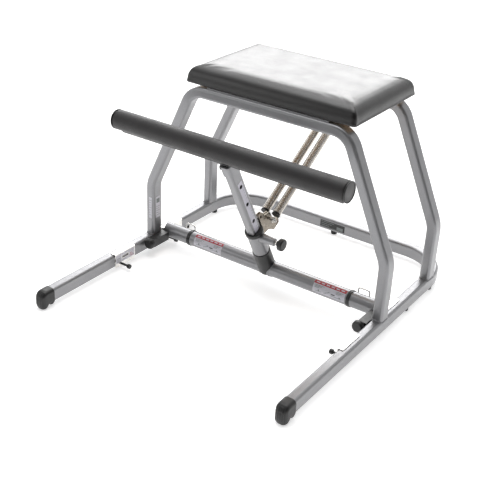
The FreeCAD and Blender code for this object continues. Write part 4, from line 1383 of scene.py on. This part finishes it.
@dataclass
class Labels:
    """Every label on the chair, with plain marks in place of print."""

    arm: ArmLine
    nodes: dict[str, bpy.types.Object]
    card_wide: float = 100.0
    card_tall: float = 37.0
    band_tall: float = 11.0
    upright_level: float = 0.136
    cap_skin: float = 2 * MM

    def build(self) -> None:
        """Make every label."""
        self.build_crossbar_card("left", -268 + 68)
        self.build_crossbar_card("right", 214)
        self.build_upright_card()
        self.build_rear_plate()
        self.build_scale()
        for side, sign in SIDES.items():
            self.build_bracket_card(side, sign)

    def build_crossbar_card(self, side: str, centre: float) -> None:
        """Make a card round the front of the axle tube, red band above, grey marks below.

        Args:
            side: Name of its side.
            centre: Its middle along X, in millimetres.
        """
        low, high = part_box("axle_tube_" + side)
        radius = (high.z - low.z) / 2
        origin = Vector((centre * MM, (low.y + high.y) / 2, (low.z + high.z) / 2))
        lean = math.radians(30)
        up = Vector((0, math.sin(lean), math.cos(lean)))
        label = Label("crossbar_card_" + side, "press_arm", "frame_paint", origin, Vector((1, 0, 0)),
                      up, Wrap.ROUND, radius)
        half = self.card_wide / 2
        top = self.card_tall / 2
        label.patch(Finish.WHITE, -half, half, -top, top - self.band_tall)
        label.patch(Finish.RED, -half, half, top - self.band_tall, top)
        for index in range(6):
            start = -half + 6 + index * 15.5
            label.patch(Finish.WHITE, start, start + 10.5, top - 7.4, top - 3.8, 1)
        for index in range(3):
            label.patch(Finish.GREY, -half + 5, -half + 34 - 7 * index, 3.4 - 3.2 * index,
                        4.6 - 3.2 * index, 1)
        for index in range(3):
            label.patch(Finish.GREY, 22, 44 - 5 * index, 3.4 - 3.2 * index, 4.6 - 3.2 * index, 1)
        self.add_marks(label)
        label.build()

    @staticmethod
    def add_marks(label: Label) -> None:
        """Add plain pictures: stepped bars, a seat block and a level line."""
        for index in range(4):
            start = -14 + 4.6 * index
            label.patch(Finish.GREY, start, start + 3.2, -13.5 + 2.2 * index, -10.8 + 2.2 * index, 1)
        label.patch(Finish.GREY, -40, -22, -13.5, -12.2, 1)
        label.patch(Finish.GREY, -33, -29, -12.2, -7.5, 1)
        label.patch(Finish.INK, 8, 20, -9.5, -6.5, 1)
        label.patch(Finish.GREY, 8, 40, -13.5, -12.2, 1)
        label.patch(Finish.GREY, 33, 37, -12.2, -8.5, 1)

    def build_upright_card(self) -> None:
        """Make the pale card on the front face and the inner face of the left front leg."""
        foot = ArchFoot.from_node(self.nodes["front_arch"], SIDES["left"])
        half = (foot.high - foot.low) / 2
        level = self.upright_level
        face = Label("upright_card_front", "frame", "frame_paint", foot.face(0, -half.y, level),
                     Vector((1, 0, 0)), foot.along)
        face.patch(Finish.WHITE, -2.5, 8, -34, 34)
        for index in range(7):
            face.patch(Finish.GREY, -1, 6.5 - 2 * (index % 3), 24 - 8 * index, 25.2 - 8 * index, 1)
        face.build()
        inner = Label("upright_card_inner", "frame", "frame_paint", foot.face(half.x, 0, level),
                      foot.along.cross(Vector((1, 0, 0))), foot.along)
        inner.patch(Finish.WHITE, -9, 9, -34, 34)
        inner.patch(Finish.GREY, -7, 7, 14, 28, 1)
        for index in range(5):
            inner.patch(Finish.GREY, -7, 7 - 3 * (index % 2), 2 - 7 * index, 3.4 - 7 * index, 1)
        inner.build()

    def build_rear_plate(self) -> None:
        """Make the dark plate on the rear tube's front face."""
        cap_low, cap_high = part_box("end_cap_left")
        half_wide = (cap_high.x - cap_low.x) / 2 - self.cap_skin
        low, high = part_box("base_frame")
        face = high.y - 2 * half_wide
        plate = Label("rear_plate", "frame", "frame_paint", Vector((0, face, (low.z + high.z) / 2)),
                      Vector((1, 0, 0)), Vector((0, 0, 1)))
        plate.patch(Finish.INK, -44, 44, -11.6, 11.6)
        for index in range(3):
            plate.patch(Finish.GREY, -40, 6 - 9 * index, 6.5 - 6 * index, 8.2 - 6 * index, 1)
        plate.patch(Finish.GREY, 16, 38, -8, 2, 1)
        plate.patch(Finish.GREY, -40, 38, -10, -9, 1)
        plate.build()

    def build_scale(self) -> None:
        """Make the pale strip with its index holes on the arm's right-hand face."""
        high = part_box("arm_tube")[1]
        strip = Label("height_strip", "bar_slide", "frame_paint", self.arm.spot(high.x, 0),
                      self.arm.behind, self.arm.along, lift=0.1 * MM)
        bottom = 170.0
        top = 372.0
        wide = 9.0
        hole = 6.0
        holes = [216.0, 286.0, 356.0]
        edges = [bottom] + [edge for level in holes for edge in (level - wide, level + wide)] + [top]
        for start, end in zip(edges[::2], edges[1::2]):
            strip.patch(Finish.SCALE, -wide, wide, start, end)
        for level in holes:
            self.add_holed_square(strip, level, wide, hole)
        for index in range(1, 19):
            level = bottom + 10.5 * index
            if min(abs(level - centre) for centre in holes) > wide + 1:
                strip.patch(Finish.GREY, 3.5, wide - 1, level, level + 0.9, 1)
        strip.build()

    @staticmethod
    def add_holed_square(label: Label, level: float, half: float, hole: float) -> None:
        """Add a square of film with a round hole in it.

        Args:
            label: The label.
            level: The hole's distance up from the label's origin, in millimetres.
            half: Half of the square's side.
            hole: The hole's radius.
        """
        rows = []
        steps = 48
        for step in range(steps):
            turn = 2 * math.pi * step / steps
            reach = half / max(abs(math.cos(turn)), abs(math.sin(turn)))
            row = []
            for radius, lift in ((hole, FILM_ROOT), (hole, label.lift), (reach, label.lift),
                                 (reach, FILM_ROOT)):
                row.append(label.spot(radius * math.cos(turn) * MM, (level + radius * math.sin(turn)) * MM,
                                      lift))
            rows.append(row)
        label.shape.skin(rows, loop=True, finish=label.finishes.index(Finish.SCALE))

    def build_bracket_card(self, side: str, sign: int) -> None:
        """Make the pale card round the slot of a front bracket.

        Args:
            side: Name of its side.
            sign: -1 for left and 1 for right.
        """
        low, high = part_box("front_bracket_" + side)
        face = low.x if sign > 0 else high.x
        middle = (low.y + high.y) / 2
        card = Label("bracket_card_" + side, "frame", "plated_steel", Vector((face, middle, 0)),
                     Vector((0, -sign, 0)), Vector((0, 0, 1)))
        card.patch(Finish.WHITE, -39, 39, 41.5, 49)
        card.patch(Finish.WHITE, -39, -14.5, 22, 41.5)
        card.patch(Finish.WHITE, 14.5, 39, 22, 41.5)
        card.patch(Finish.WHITE, -14.5, 14.5, 22, 30.5)
        for index in range(3):
            card.patch(Finish.GREY, -36, -20, 26 + 4.5 * index, 27.4 + 4.5 * index, 1)
            card.patch(Finish.RED, 20, 36 - 4 * index, 26 + 4.5 * index, 27.4 + 4.5 * index, 1)
        card.build()


# ---------------------------------------------------------------- studio


@dataclass
class Studio:
    """Plain pale floor, soft light from behind and above, and the camera."""

    eye: tuple[float, float, float] = (1.2211, -1.8722, 1.3398)
    yaw: float = 34.33
    pitch: float = -27.95
    roll: float = 2.64
    lens: float = 68.97
    floor_half: float = 30.0

    def build(self) -> None:
        """Make the whole studio."""
        self.place_camera()
        self.lay_floor()
        self.light_world()
        self.hang_lights()
        settings = bpy.context.scene.view_settings
        settings.view_transform = "Standard"
        settings.look = "None"

    def place_camera(self) -> None:
        """Make the camera and point it."""
        data = bpy.data.cameras.new("camera")
        data.lens = self.lens
        data.sensor_width = 36.0
        data.clip_start = 0.05
        data.clip_end = 100.0
        camera = bpy.data.objects.new("camera", data)
        yaw = math.radians(self.yaw)
        pitch = math.radians(self.pitch)
        roll = math.radians(self.roll)
        ahead = Vector((-math.sin(yaw) * math.cos(pitch), math.cos(yaw) * math.cos(pitch),
                        math.sin(pitch)))
        level = Vector((math.cos(yaw), math.sin(yaw), 0))
        upright = level.cross(ahead)
        right = level * math.cos(roll) + upright * math.sin(roll)
        up = upright * math.cos(roll) - level * math.sin(roll)
        turn = Matrix((right, up, -ahead)).transposed()
        camera.matrix_world = Matrix.Translation(Vector(self.eye)) @ turn.to_4x4()
        bpy.context.scene.collection.objects.link(camera)
        bpy.context.scene.camera = camera

    def lay_floor(self) -> None:
        """Make the floor."""
        half = self.floor_half
        corners = [Vector((-half, -half, 0)), Vector((half, -half, 0)), Vector((half, half, 0)),
                   Vector((-half, half, 0))]
        mesh = bpy.data.meshes.new("floor")
        mesh.from_pydata(corners, [], [(0, 1, 2, 3)])
        bench = Bench("pale floor")
        cloud = bench.spread(bench.noise(1.6, 3.0), 0.0, 1.0)
        mesh.materials.append(bench.finish(
            Base_Color=bench.blend(cloud, (0.86, 0.86, 0.86), (0.88, 0.88, 0.88)), Roughness=0.9,
            Specular_IOR_Level=0.1, Emission_Color=(1.0, 1.0, 1.0, 1.0), Emission_Strength=0.55))
        floor = bpy.data.objects.new("floor", mesh)
        bpy.context.scene.collection.objects.link(floor)

    def light_world(self) -> None:
        """Light the room: bright at the back and left, dim elsewhere, plain white where it is seen."""
        world = bpy.data.worlds.new("studio")
        bpy.context.scene.world = world
        world.use_nodes = True
        tree = world.node_tree
        place = tree.nodes.new("ShaderNodeTexCoord").outputs["Generated"]
        facing = tree.nodes.new("ShaderNodeVectorMath")
        facing.operation = "DOT_PRODUCT"
        tree.links.new(place, facing.inputs[0])
        facing.inputs[1].default_value = Vector((-0.55, 0.70, 0.45)).normalized()
        ramp = tree.nodes.new("ShaderNodeMapRange")
        ramp.interpolation_type = "SMOOTHSTEP"
        tree.links.new(facing.outputs["Value"], ramp.inputs["Value"])
        for name, value in (("From Min", -0.35), ("From Max", 0.95), ("To Min", 0.06), ("To Max", 1.15)):
            ramp.inputs[name].default_value = value
        seen = tree.nodes.new("ShaderNodeMix")
        tree.links.new(tree.nodes.new("ShaderNodeLightPath").outputs["Is Camera Ray"], seen.inputs["Factor"])
        tree.links.new(ramp.outputs[0], seen.inputs["A"])
        seen.inputs["B"].default_value = 1.0
        background = tree.nodes["Background"]
        background.inputs["Color"].default_value = (1.0, 1.0, 1.0, 1.0)
        tree.links.new(seen.outputs["Result"], background.inputs["Strength"])

    def hang_lights(self) -> None:
        """Hang a wide soft box behind, one above and a small one at the left front."""
        self.soft_box("back box", (-1.9, 3.2, 2.3), (0.0, 0.1, 0.3), (3.4, 2.0), 90.0)
        self.soft_box("top box", (-0.3, 0.4, 3.4), (0.0, 0.1, 0.0), (2.6, 2.6), 55.0)
        self.soft_box("front box", (-2.2, -2.6, 1.6), (0.0, 0.0, 0.3), (1.4, 1.4), 10.0)

    @staticmethod
    def soft_box(name: str, place: Sequence[float], target: Sequence[float],
                 size: tuple[float, float], power: float) -> None:
        """Hang one rectangular light.

        Args:
            name: Its name.
            place: Where it hangs.
            target: What it points at.
            size: Its width and height.
            power: Its power in watts.
        """
        data = bpy.data.lights.new(name, "AREA")
        data.shape = "RECTANGLE"
        data.size, data.size_y = size
        data.energy = power
        light = bpy.data.objects.new(name, data)
        aim = (Vector(target) - Vector(place)).to_track_quat("-Z", "Y")
        light.matrix_world = Matrix.Translation(Vector(place)) @ aim.to_matrix().to_4x4()
        bpy.context.scene.collection.objects.link(light)


# ---------------------------------------------------------------- the chair


@dataclass
class FrameDresser:
    """Gives every node that stays as it is its finish and softened edges."""

    record: dict
    bevelled: tuple[str, ...] = ("front_bracket", "rear_bracket", "lock_block", "front_seat_strip",
                                 "rear_seat_strip", "bar_plate", "rack_plate", "hanger_plate",
                                 "bar_saddle")
    edge: float = 0.6 * MM

    def build(self, nodes: dict[str, bpy.types.Object]) -> None:
        """Dress the nodes.

        Args:
            nodes: The nodes by name.
        """
        for row in self.record["subparts"]:
            node = row["node"]
            finish = NODE_FINISH.get(node, SLOT_FINISH[row["material_slot"]])
            item = nodes[node]
            item.data.materials.clear()
            item.data.materials.append(finish.material())
            if node.startswith(self.bevelled):
                self.soften(item)
            LOG.info("node %s in %s", node, finish.value.name)

    def soften(self, item: bpy.types.Object) -> None:
        """Round the sharp edges of a node a little, so that they catch the light."""
        edge = item.modifiers.new("eased", "BEVEL")
        edge.width = self.edge
        edge.segments = 2
        edge.limit_method = "ANGLE"
        edge.angle_limit = math.radians(40)
        edge.harden_normals = True


def main() -> None:
    """Build the looks of the whole chair round its frame."""
    logging.basicConfig(level=logging.INFO, format="%(name)s: %(message)s")
    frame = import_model()
    arm = ArmLine.from_frame(frame)
    Studio().build()
    FrameDresser(frame["record"]).build(frame["nodes"])
    SeatCushion().build()
    PressBar(arm).build()
    ExtensionSprings.from_frame(frame).build()
    CrossBolt("rack_pin", "rack_bolt", "press_arm").build()
    CrossBolt("hanger_pin", "hanger_bolt", "frame").build()
    for side in SIDES:
        RailCap(side).build()
    FrameWelds(arm, frame["nodes"]).build()
    Labels(arm, frame["nodes"]).build()


if __name__ == "__main__":
    main()
